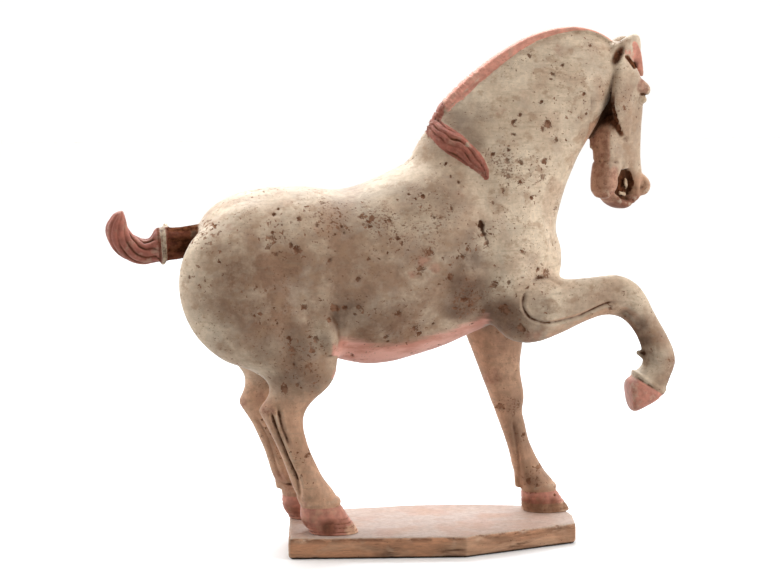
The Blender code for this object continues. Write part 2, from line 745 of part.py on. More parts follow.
def thin_out(obj, triangles):
    """Collapses the fine skin to the given number of triangles."""
    count = sum(len(p.vertices) - 2 for p in obj.data.polygons)
    collapse = obj.modifiers.new("Thin out", "DECIMATE")
    collapse.ratio = min(1.0, triangles / count)
    return evaluated(obj)


# The two pieces


def horse():
    """The whole horse as one closed solid, in the figure's grid."""
    soft = [trunk(), neck(), near_hind(), far_hind(), far_fore(), near_fore()] + muscles()
    body = fuse(mesh_object("body", soft), SOFT_VOXEL)
    fill_creases(body, 24, 0.12)
    head = [skull(), upper_lip(), lower_jaw()] + both_sides(cheek)
    head += both_sides(brow) + both_sides(eye) + both_sides(lower_lid)
    head += both_sides(nostril) + both_sides(ear) + [forelock()] + mouth_inside()
    crisp = [on_head(shell) for shell in head] + flank_folds()
    crisp += [mane_band(), mane_lock(skin_tree(body)), tail(), tail_ring()] + hooves() + fetlock_tufts()
    skin = (np.array([v.co[:] for v in body.data.vertices]), [list(p.vertices) for p in body.data.polygons])
    result = fuse(mesh_object("horse", [skin] + crisp), FINE_VOXEL)
    bpy.data.objects.remove(body)
    fill_creases(result, 4, 0.3)
    for path, width, depth in grooves():
        engrave(result, path, width, depth)
    thin_out(result, HORSE_TRIANGLES)
    level_soles(result)
    return result


def place_on_plinth(obj):
    """From the figure's grid to metres, with the soles just above the plinth."""
    place = Matrix.Translation((0.0, 0.0, PLINTH_THICKNESS + SOLE_GAP)) @ Matrix.Scale(PART, 4)
    obj.data.transform(place)
    return obj


def plinth_outline():
    """Corners of the hand-cut slab, in metres, going round from the back right: the outline of
    the stance on the grid, pushed out all round by the margin."""
    stance = [
        (-149, -HIND_OUT - 21.5),
        (21, -RAISED_OUT - 40),
        (138.5, -34.5),
        (145, 8),
        (139.5, FORE_OUT + 11),
        (99, FORE_OUT + 22),
        (62.5, FORE_OUT + 31),
        (-10, HIND_OUT + 35),
        (-134.5, HIND_OUT + 20),
    ]
    corners = np.array(stance) * PART
    along = np.roll(corners, -1, axis=0) - corners
    along /= np.linalg.norm(along, axis=1)[:, None]
    outward = np.stack([along[:, 1], -along[:, 0]], axis=1)
    before = np.roll(outward, 1, axis=0)
    mitre = (outward + before) / (1.0 + (outward * before).sum(axis=1))[:, None]
    return corners + PLINTH_MARGIN * mitre


def plinth():
    """Slab cut from the outline, with softened edges."""
    outline = bpy.data.curves.new("plinth outline", "CURVE")
    outline.dimensions = "2D"
    outline.fill_mode = "BOTH"
    outline.extrude = PLINTH_THICKNESS / 2
    spline = outline.splines.new("POLY")
    corners = plinth_outline()
    spline.points.add(len(corners) - 1)
    for point, (x, y) in zip(spline.points, corners):
        point.co = (x, y, 0.0, 1.0)
    spline.use_cyclic_u = True
    guide = bpy.data.objects.new("plinth guide", outline)
    bpy.context.scene.collection.objects.link(guide)
    graph = bpy.context.evaluated_depsgraph_get()
    mesh = bpy.data.meshes.new_from_object(guide.evaluated_get(graph))
    bpy.data.objects.remove(guide)
    form = bmesh.new()
    form.from_mesh(mesh)
    bmesh.ops.remove_doubles(form, verts=form.verts[:], dist=0.00001)
    bmesh.ops.translate(form, verts=form.verts[:], vec=(0.0, 0.0, PLINTH_THICKNESS / 2))
    bmesh.ops.recalc_face_normals(form, faces=form.faces[:])
    form.to_mesh(mesh)
    form.free()
    result = bpy.data.objects.new("plinth", mesh)
    bpy.context.scene.collection.objects.link(result)
    rounding = result.modifiers.new("Worn edges", "BEVEL")
    rounding.width = PLINTH_EDGE_ROUNDING
    rounding.segments = 2
    return result


def clay(name, colour, roughness):
    """Plain fired clay with a thin slip."""
    material = bpy.data.materials.new(name)
    material.use_nodes = True
    shader = material.node_tree.nodes["Principled BSDF"]
    shader.inputs["Base Color"].default_value = (*colour, 1.0)
    shader.inputs["Roughness"].default_value = roughness
    shader.inputs["Metallic"].default_value = 0.0
    return material


def main():
    """Clears the scene, then models the horse and its plinth in one collection."""
    for old in list(bpy.data.objects):
        bpy.data.objects.remove(old)
    figure = place_on_plinth(horse())
    figure.name = "horse"
    figure.data.materials.append(clay("slipped clay", (0.40, 0.31, 0.21), 0.75))
    slab = plinth()
    slab.data.materials.append(clay("bare clay", (0.47, 0.31, 0.20), 0.85))
    parts = bpy.data.collections.new("pottery horse")
    bpy.context.scene.collection.children.link(parts)
    for obj in (figure, slab):
        bpy.context.scene.collection.objects.unlink(obj)
        parts.objects.link(obj)


main()
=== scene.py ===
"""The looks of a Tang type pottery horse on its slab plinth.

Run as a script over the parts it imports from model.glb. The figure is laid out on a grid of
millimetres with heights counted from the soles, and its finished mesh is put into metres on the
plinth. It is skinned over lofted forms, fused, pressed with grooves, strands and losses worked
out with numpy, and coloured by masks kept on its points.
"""

import math
from functools import partial

import bmesh
import bpy
import numpy as np
from bpy.props import FloatProperty, FloatVectorProperty, IntProperty, PointerProperty
from mathutils import Matrix, Vector
from mathutils.bvhtree import BVHTree


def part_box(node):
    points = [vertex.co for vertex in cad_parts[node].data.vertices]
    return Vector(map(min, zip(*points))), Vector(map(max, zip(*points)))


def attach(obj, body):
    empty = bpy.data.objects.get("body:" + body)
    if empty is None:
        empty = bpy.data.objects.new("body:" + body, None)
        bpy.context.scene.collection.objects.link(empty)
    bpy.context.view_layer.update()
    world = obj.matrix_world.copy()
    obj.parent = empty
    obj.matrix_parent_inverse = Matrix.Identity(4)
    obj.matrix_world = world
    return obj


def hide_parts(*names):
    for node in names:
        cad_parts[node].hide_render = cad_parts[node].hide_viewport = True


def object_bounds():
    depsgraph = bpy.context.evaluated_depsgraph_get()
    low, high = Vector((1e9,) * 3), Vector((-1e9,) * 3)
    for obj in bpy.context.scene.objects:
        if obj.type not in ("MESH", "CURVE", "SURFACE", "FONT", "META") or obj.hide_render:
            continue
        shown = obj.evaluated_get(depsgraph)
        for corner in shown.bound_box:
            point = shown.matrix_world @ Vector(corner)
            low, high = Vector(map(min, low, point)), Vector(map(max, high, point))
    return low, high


bl_info = {
    "name": "Pottery Horse",
    "version": (1, 0, 0),
    "blender": (4, 5, 0),
    "location": "View3D > Sidebar > Pottery Horse",
    "description": "Models and finishes a slipped and painted pottery horse on its plinth",
    "category": "Object",
}

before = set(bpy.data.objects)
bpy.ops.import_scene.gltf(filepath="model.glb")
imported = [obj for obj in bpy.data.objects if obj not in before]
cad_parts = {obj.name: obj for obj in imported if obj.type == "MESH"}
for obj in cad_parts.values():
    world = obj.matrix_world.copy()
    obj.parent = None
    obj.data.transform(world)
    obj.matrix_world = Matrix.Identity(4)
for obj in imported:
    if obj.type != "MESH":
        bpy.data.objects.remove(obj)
CAD_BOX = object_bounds()
SOLE_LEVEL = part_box("horse")[0][2]
PLINTH_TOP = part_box("plinth")[1][2]
PART = 0.001

POLL = np.array([190.0, 6.0, 477.5])
HEAD_TURN = math.radians(35.0)
HIND_OUT = 38.0
FORE_OUT = 33.0
RAISED_OUT = 38.0


# Sizes and colours


def colour(name, description, default):
    """A colour with its name and description."""
    return FloatVectorProperty(name=name, description=description, subtype="COLOR", min=0, max=1,
                               default=default)


def millimetres(name, description, default):
    """A length given in millimetres."""
    return FloatProperty(name=name, description=description, default=default, min=0.0, max=50.0)


class HorseSizes(bpy.types.PropertyGroup):
    """How finely the horse is skinned, and how deep its relief is."""

    soft_skin: millimetres("Soft skin", "Fineness of the trunk and limbs before they are smoothed, in mm",
                           3.0)
    fine_skin: millimetres("Fine skin", "Fineness of the fused figure, in mm", 1.15)
    triangles: IntProperty(name="Triangles", description="Faces kept on the figure", default=190000,
                           min=20000)
    groove: millimetres("Groove depth", "Depth of the cut lines on the legs, in mm", 2.6)
    strand: millimetres("Strand depth", "Depth of the lines in the mane and tail, in mm", 0.9)
    unevenness: millimetres("Unevenness", "How far the hand-smoothed skin wanders, in mm", 0.34)
    loss: millimetres("Loss depth", "Depth of the patches where the slip has gone, in mm", 0.55)


class PlinthSizes(bpy.types.PropertyGroup):
    """The slab's skin and wear."""

    skin: millimetres("Skin", "Fineness of the slab, in mm", 1.25)
    triangles: IntProperty(name="Triangles", description="Faces kept on the slab", default=110000,
                           min=20000)
    strata: millimetres("Cut marks", "Depth of the level marks on the sides, in mm", 0.55)
    wear: millimetres("Edge wear", "How far the edges are worn back, in mm", 1.6)


class ClayColours(bpy.types.PropertyGroup):
    """Colours of slip, clay, pigments, and the dark brown of earth that also serves as painted shade."""

    slip: colour("Slip", "Cream slip where it is clean", (0.70, 0.555, 0.405))
    slip_stained: colour("Stained slip", "Slip darkened by the ground", (0.52, 0.38, 0.26))
    # Brown patina colour, laid on broad zones that are partly painted shade.
    film_and_shade: colour("Brown film", "Brown film over much of the barrel and limbs", (0.265, 0.145, 0.085))
    clay: colour("Clay", "Fired clay under the slip", (0.36, 0.19, 0.11))
    loss: colour("Loss", "Clay darkened where the slip has gone", (0.115, 0.046, 0.024))
    # Dark brown of earth, laid on the figure's creases and hollows as painted shade as well as earth, and
    # on the slab's specks.
    soil_and_shade: colour("Soil", "Soil held in the hollows", (0.085, 0.038, 0.020))
    pink: colour("Pink", "Pink pigment of the mane and forelock", (0.66, 0.285, 0.205))
    belly: colour("Belly", "Paler pink under the barrel", (0.80, 0.42, 0.335))
    hoof: colour("Hoof", "Pigment of the hooves", (0.47, 0.19, 0.13))
    hair: colour("Hair", "Deeper red of the lock and tail", (0.35, 0.112, 0.076))
    tooth: colour("Tooth", "Teeth and eyeballs", (0.43, 0.30, 0.185))
    slab: colour("Slab", "Pale skin on top of the plinth", (0.435, 0.335, 0.285))
    slab_side: colour("Slab sides", "Bare cut sides of the plinth", (0.62, 0.305, 0.17))


# Surfaces


def through(rows, count):
    """Rows on a curve through the given rows: a cubic in Hermite form, its knots spaced by the
    square root of each chord."""
    rows = np.asarray(rows, dtype=float)
    chords = np.linalg.norm(np.diff(rows, axis=0), axis=1) ** 0.5
    knots = np.concatenate([[0.0], np.cumsum(chords)])
    slopes = np.diff(rows, axis=0) / chords[:, None]
    tangents = np.empty_like(rows)
    tangents[0] = slopes[0]
    tangents[-1] = slopes[-1]
    before = chords[:-1, None]
    after = chords[1:, None]
    tangents[1:-1] = (slopes[:-1] * after + slopes[1:] * before) / (before + after)
    place = np.linspace(0.0, knots[-1], count)
    span = np.clip(np.searchsorted(knots, place, side="right") - 1, 0, len(chords) - 1)
    width = chords[span][:, None]
    t = ((place - knots[span]) / chords[span])[:, None]
    start = rows[span] * (2 * t**3 - 3 * t**2 + 1) + tangents[span] * width * (t**3 - 2 * t**2 + t)
    end = rows[span + 1] * (3 * t**2 - 2 * t**3) + tangents[span + 1] * width * (t**3 - t**2)
    return start + end


def skin_rings(rings):
    """A closed shell over a stack of rings: quads between rings, and a fan to each end's middle."""
    count, sides = rings.shape[:2]
    points = rings.reshape(-1, 3)
    ends = np.array([rings[0].mean(axis=0), rings[-1].mean(axis=0)])
    here = np.arange(count * sides).reshape(count, sides)
    beside = np.roll(here, -1, axis=1)
    quads = np.stack([here[:-1], here[1:], beside[1:], beside[:-1]], axis=-1).reshape(-1, 4)
    first = np.stack([np.full(sides, count * sides), here[0], beside[0]], axis=-1)
    last = np.stack([np.full(sides, count * sides + 1), beside[-1], here[-1]], axis=-1)
    return np.concatenate([points, ends]), quads.tolist() + first.tolist() + last.tolist()


def loft(stations, steps=72, sides=56, round_ends=(0.6, 0.6)):
    """A limb or trunk as a function of place along it and angle round it: half way between two
    rim points, plus a superellipse between them. Each station is (rim x, rim z, other rim x,
    other rim z, middle y, half width, squareness, egg); the last two may be left off, as 2 and 0,
    and egg widens it towards the first rim."""
    rows = through([list(s) + [2.0, 0.0][len(s) - 6:] for s in stations], steps)
    first = rows[:, 0:2]
    second = rows[:, 2:4]
    middle = np.stack([(first[:, 0] + second[:, 0]) / 2, rows[:, 4], (first[:, 1] + second[:, 1]) / 2],
                      axis=1)
    reach = np.stack([(first[:, 0] - second[:, 0]) / 2, np.zeros(steps),
                      (first[:, 1] - second[:, 1]) / 2], axis=1)
    rings = (middle, reach, rows[:, 5], rows[:, 7], 2.0 / rows[:, 6])
    middle, reach, across, egg, power = with_domes(rings, round_ends)
    turn = np.linspace(0.0, 2 * math.pi, sides, endpoint=False)[None, :]
    u = np.sign(np.cos(turn)) * np.abs(np.cos(turn)) ** power[:, None]
    v = np.sign(np.sin(turn)) * np.abs(np.sin(turn)) ** power[:, None]
    v = v * (1.0 + egg[:, None] * u)
    rings = middle[:, None, :] + reach[:, None, :] * u[:, :, None]
    rings[:, :, 1] += across[:, None] * v
    return skin_rings(rings)


def with_domes(rings, round_ends):
    """Adds rings past both ends: each shrinks by the cosine of an angle and moves out by its
    sine, times a share of the end's size."""
    middle, reach, across, egg, power = rings
    angles = np.radians([25.0, 45.0, 62.0, 76.0, 86.0])
    parts = [rings]
    for end, share in ((0, round_ends[0]), (-1, round_ends[1])):
        inner = 1 if end == 0 else -2
        away = middle[end] - middle[inner]
        away = away / max(np.linalg.norm(away), 1e-9)
        depth = share * min(np.linalg.norm(reach[end]), across[end])
        dome = (
            middle[end] + away * depth * np.sin(angles)[:, None],
            reach[end] * np.cos(angles)[:, None],
            across[end] * np.cos(angles),
            np.full(len(angles), egg[end]),
            np.full(len(angles), power[end]),
        )
        if end == 0:
            parts.insert(0, tuple(r[::-1] for r in dome))
        else:
            parts.append(dome)
    return tuple(np.concatenate(columns) for columns in zip(*parts))


def tube(path, sides=32, steps=56, flat=1.0, lean=(0.0, 1.0, 0.0)):
    """A ring carried along (x, y, z, radius) rows, square to the path. flat thins it along lean."""
    rows = through(path, steps)
    centre = rows[:, :3]
    lean = np.asarray(lean, dtype=float)
    along = np.gradient(centre, axis=0)
    along /= np.linalg.norm(along, axis=1)[:, None]
    thin = lean[None, :] - along * (along @ lean)[:, None]
    thin /= np.linalg.norm(thin, axis=1)[:, None]
    wide = np.cross(along, thin)
    turn = np.linspace(0.0, 2 * math.pi, sides, endpoint=False)[None, :, None]
    ring = np.cos(turn) * wide[:, None, :] + flat * np.sin(turn) * thin[:, None, :]
    return skin_rings(centre[:, None, :] + rows[:, 3][:, None, None] * ring)


def ball(centre, radii, turns=(0.0, 0.0, 0.0), rings=26, sides=40):
    """An ellipsoid as a function of latitude and longitude, turned about X, Y and Z in degrees."""
    latitude = np.radians(np.linspace(-86.0, 86.0, rings))[:, None]
    longitude = np.linspace(0.0, 2 * math.pi, sides, endpoint=False)[None, :]
    x = np.cos(latitude) * np.cos(longitude)
    y = np.cos(latitude) * np.sin(longitude)
    z = np.sin(latitude) * np.ones_like(longitude)
    spin = Matrix.Rotation(math.radians(turns[2]), 3, "Z")
    spin = spin @ Matrix.Rotation(math.radians(turns[1]), 3, "Y")
    spin = spin @ Matrix.Rotation(math.radians(turns[0]), 3, "X")
    points = np.stack([x, y, z], axis=-1) * np.asarray(radii, dtype=float)
    return skin_rings(points @ np.array(spin).T + np.asarray(centre, dtype=float))


def head_axes():
    """The head's forward, left and up directions, as rows: the grid's, turned about Z."""
    c, s = math.cos(HEAD_TURN), math.sin(HEAD_TURN)
    return np.array([[c, s, 0.0], [-s, c, 0.0], [0.0, 0.0, 1.0]])


def on_head(shell):
    """Moves a shell from the head's own frame, with the poll at the origin, to the figure's."""
    points, faces = shell
    return points @ head_axes() + POLL, faces


def both_sides(make):
    """The same form on the head's right and left."""
    return [make(-1.0), make(1.0)]


# Lines that both the forms and the relief follow, in side view

LOCK_LINE = [
    (-4, 400), (3, 392), (10, 385), (17.6, 379), (25.8, 372.2), (34.3, 365), (38.7, 360.5), (44.3, 353.2),
    (46.4, 347),
]
LOCK_HALF = [8.0, 9.0, 10.6, 10.8, 9.4, 8.2, 6.9, 4.3, 1.6]
CREST_INNER = [
    (-12, 372), (1, 383), (8, 394), (16, 409), (30, 424.5), (50, 442.5), (69, 457.5), (87, 470.5),
]
CREST_INNER += [(106, 481), (125, 487), (143, 490.5), (158, 490.5), (170, 487), (181, 480.5), (190, 472)]
TAIL_LINE = [(-225, 287), (-241, 285), (-256, 283), (-268, 282.5), (-277, 281), (-284, 277), (-292, 277)]
TAIL_LINE += [(-299, 280.5), (-305, 285), (-310, 292), (-312, 300), (-312, 307), (-310, 314)]


# The soft masses: trunk, neck and limbs


def trunk():
    """Barrel from rump to breast: top and bottom rims, and half width."""
    return loft([
        (-240, 266, -240, 242, 0, 20),
        (-236, 290, -236, 222, 0, 36),
        (-225, 312, -225, 205, 0, 46, 2.1),
        (-205, 327, -205, 195, 0, 54, 2.1),
        (-180, 335, -180, 186, 0, 61, 2.1),
        (-150, 338, -150, 178, 0, 65, 2.1),
        (-122, 337.5, -122, 173, 0, 66, 2.1),
        (-97, 334.5, -97, 167, 0, 66, 2.1),
        (-70, 340, -70, 161, 0, 67, 2.1),
        (-45, 351, -45, 162, 0, 67, 2.1),
        (-20, 363, -20, 168, 0, 66, 2.1, -0.04),
        (10, 374, 10, 177, 0, 63, 2.1, -0.08),
        (45, 372, 40, 190, 0, 58, 2.1, -0.1),
        (80, 355, 72, 203, 0, 52, 2.1, -0.1),
        (104, 325, 97, 218, 0, 43),
        (119, 295, 113, 234, 0, 28),
    ])


def neck():
    """Arched neck: crest and throat rims, thinner towards the crest."""
    return loft([
        (-28, 355, 84, 222, 0, 50, 2.0, -0.10),
        (-14, 381, 112, 247, 0, 50, 2.0, -0.14),
        (1, 404, 124, 272, 0, 46, 2.0, -0.2),
        (21, 425, 125, 297, 0, 41, 2.0, -0.22),
        (47, 447, 131, 322, 0, 36, 2.0, -0.22),
        (77, 468, 139, 345, 0, 31.5, 2.0, -0.22),
        (107, 481.5, 149, 367, 1, 28, 2.0, -0.22),
        (137, 490, 162, 388, 2, 24, 2.0, -0.2),
        (162, 487, 173.5, 407, 4, 20, 2.0, -0.14),
        (179, 478.5, 184, 426, 6, 17, 2.0, -0.05),
    ])


def near_hind():
    """Right hind leg from haunch to pastern: front and back rims."""
    y = -HIND_OUT
    return loft([
        (-158, 318, -212, 312, y + 12, 20),
        (-138, 290, -242, 287, y + 7, 31),
        (-124, 258, -254, 252, y + 4, 35),
        (-113, 228, -250, 220, y + 3, 34),
        (-106, 203, -235, 192, y + 2, 31),
        (-101, 183, -212, 172, y + 1, 28, 2.1),
        (-100.5, 168, -188, 163, y, 25, 2.1, 0.1),
        (-103, 154, -171, 152, y, 22, 2.1, 0.1),
        (-110, 143, -167, 142, y, 18.5, 2.1, 0.1),
        (-121, 134, -171, 132, y, 16, 2.2, 0.05),
        (-130, 124, -178, 123, y, 15, 2.2),
        (-134, 113, -173.5, 113, y, 13.5, 2.2),
        (-133, 101, -167.5, 101, y, 12.5, 2.2),
        (-128, 83, -159, 83, y, 12, 2.2),
        (-121, 67, -152.5, 67, y, 12.5, 2.2),
        (-114, 53, -147.5, 53, y, 14.5, 2.1),
        (-106, 43, -144, 43, y, 15.5, 2.1),
        (-101, 35, -139.5, 35, y, 16, 2.1),
        (-99, 24, -134, 24, y, 16, 2.1),
    ], round_ends=(0.6, 0.1))


def far_hind():
    """Left hind leg, set a little further back than the right one."""
    y = HIND_OUT - 1
    return loft([
        (-158, 318, -212, 312, y - 12, 20),
        (-138, 290, -232, 287, y - 7, 31),
        (-124, 258, -241, 252, y - 4, 35),
        (-113, 228, -240, 220, y - 3, 34),
        (-108, 203, -235, 192, y - 2, 31),
        (-106, 183, -214, 172, y - 1, 28, 2.1),
        (-107, 166, -196, 160, y, 25, 2.1, 0.1),
        (-112, 151, -186, 148, y, 21.5, 2.1, 0.1),
        (-121, 139, -184.5, 137, y, 18, 2.1, 0.1),
        (-132, 130, -187, 128, y, 16, 2.2, 0.05),
        (-141, 120, -191, 119, y, 15, 2.2),
        (-146, 109, -185, 109, y, 13.5, 2.2),
        (-146, 96, -177, 96, y, 12.5, 2.2),
        (-142, 80, -169.8, 80, y, 12, 2.2),
        (-136, 66, -164, 66, y, 12.5, 2.2),
        (-127, 52, -160, 52, y, 14, 2.1),
        (-116, 41, -156, 41, y, 15.5, 2.1),
        (-108, 31, -150, 31, y, 16, 2.1),
        (-106, 21, -144, 21, y, 16, 2.1),
    ], round_ends=(0.6, 0.1))


def far_fore():
    """Left foreleg, the standing one, which slants forwards to the hoof."""
    y = FORE_OUT
    return loft([
        (112, 262, 30, 255, y - 5, 22),
        (109, 228, 32, 220, y - 2, 25),
        (103, 196, 38, 192, y, 23),
        (99.5, 168, 47, 168, y, 20, 2.1),
        (97.5, 150, 54, 150, y, 18, 2.2),
        (99.5, 134, 60, 134, y, 17.5, 2.3),
        (101.5, 124, 64, 124, y, 17.5, 2.3),
        (102, 114, 67.5, 114, y, 16, 2.2),
        (100, 104, 71.5, 104, y, 13.5, 2.2),
        (103, 91, 76.5, 91, y, 12.5, 2.2),
        (107, 74, 82.5, 74, y, 12, 2.2),
        (113, 60, 87, 60, y, 12.5, 2.2),
        (119.5, 48, 89.5, 48, y, 14.5, 2.1),
        (126, 38, 92.5, 38, y, 15.5, 2.1),
        (133.5, 30, 96, 30, y, 16, 2.1),
        (135, 20, 101, 20, y, 16, 2.1),
    ], round_ends=(0.6, 0.1))


def near_fore():
    """Right foreleg, raised and bent: top and underside rims out to the pastern."""
    y = -RAISED_OUT
    return loft([
        (78, 268, 52, 205, y + 4, 20),
        (98, 256, 72, 186, y + 1, 22),
        (115, 247.5, 96, 183, y, 21, 2.1),
        (133, 246, 122, 191.5, y, 18, 2.2),
        (152, 247, 147, 203, y, 15.5, 2.2),
        (169, 249, 166, 209, y, 14.5, 2.3),
        (184, 248.5, 180, 208, y, 15.5, 2.4),
        (199, 241, 189.5, 202.5, y, 15.5, 2.4),
        (209, 229.5, 195.5, 196, y, 14, 2.3),
        (216.5, 215, 200.5, 188, y, 12.5, 2.2),
        (224, 202, 204, 180, y, 12, 2.2),
        (232, 188.5, 206.5, 172.5, y, 13, 2.1),
        (239.5, 172, 207, 163.5, y, 15, 2.1),
        (240.5, 159, 210, 160.5, y, 15, 2.1),
        (236, 146, 206.5, 157, y, 14.5, 2.1),
        (230, 131, 198, 151, y, 16, 2.1),
    ], round_ends=(0.6, 0.1))


def muscles():
    """Swellings under the skin: shoulders, breast, haunches and the points of the elbows."""
    return [
        ball((70, -34, 262), (40, 25, 62), (0, 18, 6)),
        ball((70, 34, 262), (40, 25, 62), (0, 18, -6)),
        ball((100, -18, 258), (27, 22, 30)),
        ball((100, 18, 258), (27, 22, 30)),
        ball((84, -35, 214), (26, 22, 30), (0, 30, 0)),
        ball((72, 31, 214), (28, 21, 34), (0, 20, 0)),
        ball((-177, -30, 262), (62, 34, 62)),
        ball((-169, 30, 262), (62, 34, 62)),
    ]


def flank_folds():
    """The roll of skin from flank to stifle, on each side."""
    fold = [(-127, 50, 229, 7), (-121, 52, 217, 9.5), (-115.5, 52.5, 207, 11), (-112, 52, 196, 11.5),
            (-112, 50, 187, 11)]
    fold += [(-118, 50, 180, 9)]
    return [
        tube([(x - lag, side * y, z, r) for x, y, z, r in fold], lean=(1, 0, 0))
        for side, lag in ((-1, 0), (1, 3))
    ]


# The head, in its own frame


def skull():
    """Forehead, face and cheeks down to the bars of the mouth."""
    return loft([
        (0, 0, -15, -6, 0, 10, 2.2),
        (10, -12, -20, -16, 0, 14.5, 2.3),
        (18, -27, -18, -32, 0, 18.5, 2.5, 0.1),
        (24.5, -44, -13, -50, 0, 19.5, 2.8, 0.12),
        (26, -62, -9, -68, 0, 17.5, 3.0, 0.05),
        (27, -84, -8, -88, 0, 15, 3.0),
        (28, -104, -10, -106, 0, 13.5, 3.0),
        (28.5, -120, -6, -118, 0, 13, 2.8),
    ])


def upper_lip():
    """Muzzle and upper lip, in front of the open mouth."""
    return loft([
        (27, -100, -6, -104, 0, 13, 2.8),
        (28.5, -120, 2, -122, 0, 13.5, 2.6),
        (29, -136, 10.5, -134, 0, 15, 2.3),
        (28, -148, 13, -144, 0, 15.5, 2.2),
        (22, -157, 12, -151, 0, 15, 2.1),
        (16, -162, 9, -153, 0, 13.5, 2.1),
    ], round_ends=(0.3, 0.5))


def lower_jaw():
    """Box-shaped jaw from the cheeks to the chin: mouth side and underside rims."""
    return loft([
        (2, -72, -13, -72, 0, 9, 2.6),
        (0, -88, -24, -86, 0, 12, 3.4),
        (-1, -103, -27, -100, 0, 13, 4.0),
        (-1, -117, -26.5, -115, 0, 12.6, 3.8),
        (-4, -127, -28.5, -125, 0, 13.8, 3.0),
        (-11, -138, -30, -137, 0, 13.8, 2.5),
        (-15.5, -146, -29.5, -147, 0, 12.5, 2.3),
        (-17, -150, -27, -151, 0, 10.5, 2.1),
    ], round_ends=(0.4, 0.8))


def lower_lip():
    """Lip that runs forwards from the chin under the open mouth."""
    return loft([
        (-21, -152, -19, -143, 0, 10, 2.1),
        (-13, -158.5, -11, -149, 0, 11.5, 2.2),
        (-4, -163.5, -4, -154.5, 0, 12.5, 2.2),
        (5, -166, 3, -156, 0, 12.5, 2.2),
        (12, -164.5, 9, -156, 0, 11.5, 2.1),
    ], steps=40, round_ends=(0.5, 0.5))


def mouth_corner():
    """Flesh between the lips where the open mouth ends, across the head."""
    return loft([
        (9, -106, -12, -106, 0, 12.6, 3.0),
        (8, -116, -10, -117, 0, 12.8, 3.0),
        (7.5, -124, -7.5, -125, 0, 12.6, 3.0),
    ], steps=30, round_ends=(0.2, 0.2))


def chin():
    """Rounded chin under the front of the jaw."""
    return ball((-18.5, 0, -137.5), (11.8, 14.4, 15), (0, -12, 0))


def cheek(side):
    """One jowl: a flat rounded plate behind the skull, with the jaw hollow between the two."""
    rear = (-15.0, -19.0, -22.5, -17.5, -11.0) if side < 0 else (-16.0, -23.0, -25.5, -27.0, -28.5)
    depth = -92.0 if side < 0 else -104.0
    return loft([
        (4, -18, rear[0], -24, side * 11, 5, 2.2),
        (8, -38, rear[1], -40, side * 12.5, 6.5, 2.4),
        (9, -56, rear[2], -57, side * 12.8, 6.5, 2.4),
        (8, -74, rear[3], -76, side * 12, 5.5, 2.4),
        (7, depth + 3, rear[4], depth, side * 10.5, 4.5, 2.3),
    ])


def brow(side):
    """Bony ridge over the eye."""
    path = [(8, side * 9.5, -31, 3), (13, side * 13, -36.5, 4.2), (17.5, side * 16.5, -41.5, 5.0)]
    path += [(20.5, side * 19, -46, 5.2), (24, side * 16, -50, 3.6)]
    return [tube(path),
            tube([(4, side * 12, -43, 4), (13, side * 17, -44.5, 5), (20, side * 18.6, -46.5, 4.8)])]


def eye(side):
    """Eyeball under the brow."""
    return ball((17.5, side * 16.6, -56), (5.6, 5.4, 4.2), (0, 14, side * -16))


def lower_lid(side):
    """Rim under the eye."""
    path = [(8, side * 15, -57, 1.5), (13, side * 17, -61, 1.8), (18.5, side * 15.6, -62.5, 1.6),
            (23, side * 12.5, -60, 1.3)]
    return tube(path)


def nostril(side):
    """Flared wing of the nostril."""
    path = [
        (21, side * 9, -131, 2.6),
        (26, side * 13.5, -135.5, 3.2),
        (27.5, side * 16.5, -142, 3.9),
        (24.5, side * 16.5, -148.5, 3.2),
        (20, side * 13, -150.5, 2.6),
    ]
    return tube(path)


def ear(side):
    """Broad short ear laid forwards over the top of the head, the left one a little lower."""
    low = 0.0 if side < 0 else 1.8
    rows = [(-11, -3, -9, 7, 2.5), (-6, 1.5, -16, 7.4, 4.6), (2, 5.8, -19, 7.8, 5.8),
            (10, 8.4, -19, 7.8, 6.0)]
    rows += [(17, 9.4, -19, 7.4, 5.6), (21.5, 8.4, -17, 7, 4.6), (24, 4.5, -13, 6.5, 3.0)]
    return loft([(x, top - low, x, bottom, side * y, half, 2.3) for x, top, bottom, y, half in rows])


FORELOCK_LINE = [
    (10, -8, -3), (14, -8.5, -9), (17, -9, -15), (21, -9, -22), (25, -9, -28.5), (28, -8.5, -33),
]


def forelock():
    """Flat tuft from under the right ear that lies down the forehead to a point."""
    path = [(4, -6, -4, 5.0)] + [(*at, r) for at, r in zip(FORELOCK_LINE, (6.8, 7.4, 6.5, 4.9, 3.1, 1.5))]
    return tube(path, flat=0.6, lean=(-0.7, -0.72, 0))


def mouth_inside():
    """The wall down the middle of the open mouth, and the tongue."""
    wall = loft([
        (8, -112, -16, -110, 0, 8),
        (12, -127, -14, -127, 0, 6.5),
        (13, -140, -16, -139, 0, 5),
        (12, -151, -16, -150, 0, 6),
        (8, -158, -12, -157, 0, 7),
    ], steps=24)
    return [wall, tube([(-4, 0, -128, 5), (0, 0, -138, 5), (2, 0, -147, 4), (5, 0, -153, 2.5)], flat=0.6)]


UPPER_TEETH = [
    (3.2, 8.6, -138.5, 5.0), (6.0, 7.6, -140, 5.0), (8.6, 5.6, -142, 4.4), (10.2, 2.4, -143.5, 4),
]
LOWER_TEETH = [
    (-7, 10.2, -149, 2.4), (-3.8, 10, -149.8, 2.4), (-0.6, 9.6, -150.4, 2.4), (2.4, 8.4, -151, 2.4),
    (5, 4, -151.5, 2.6),
]


def teeth(side):
    """Both jaws' teeth on one side, as small upright eggs, each at its place and of its height."""
    rows = UPPER_TEETH + LOWER_TEETH
    return [ball((x, side * y, z), (1.5, 1.4, high), rings=12, sides=16) for x, y, z, high in rows]


# Crisp forms: mane, tail and hooves


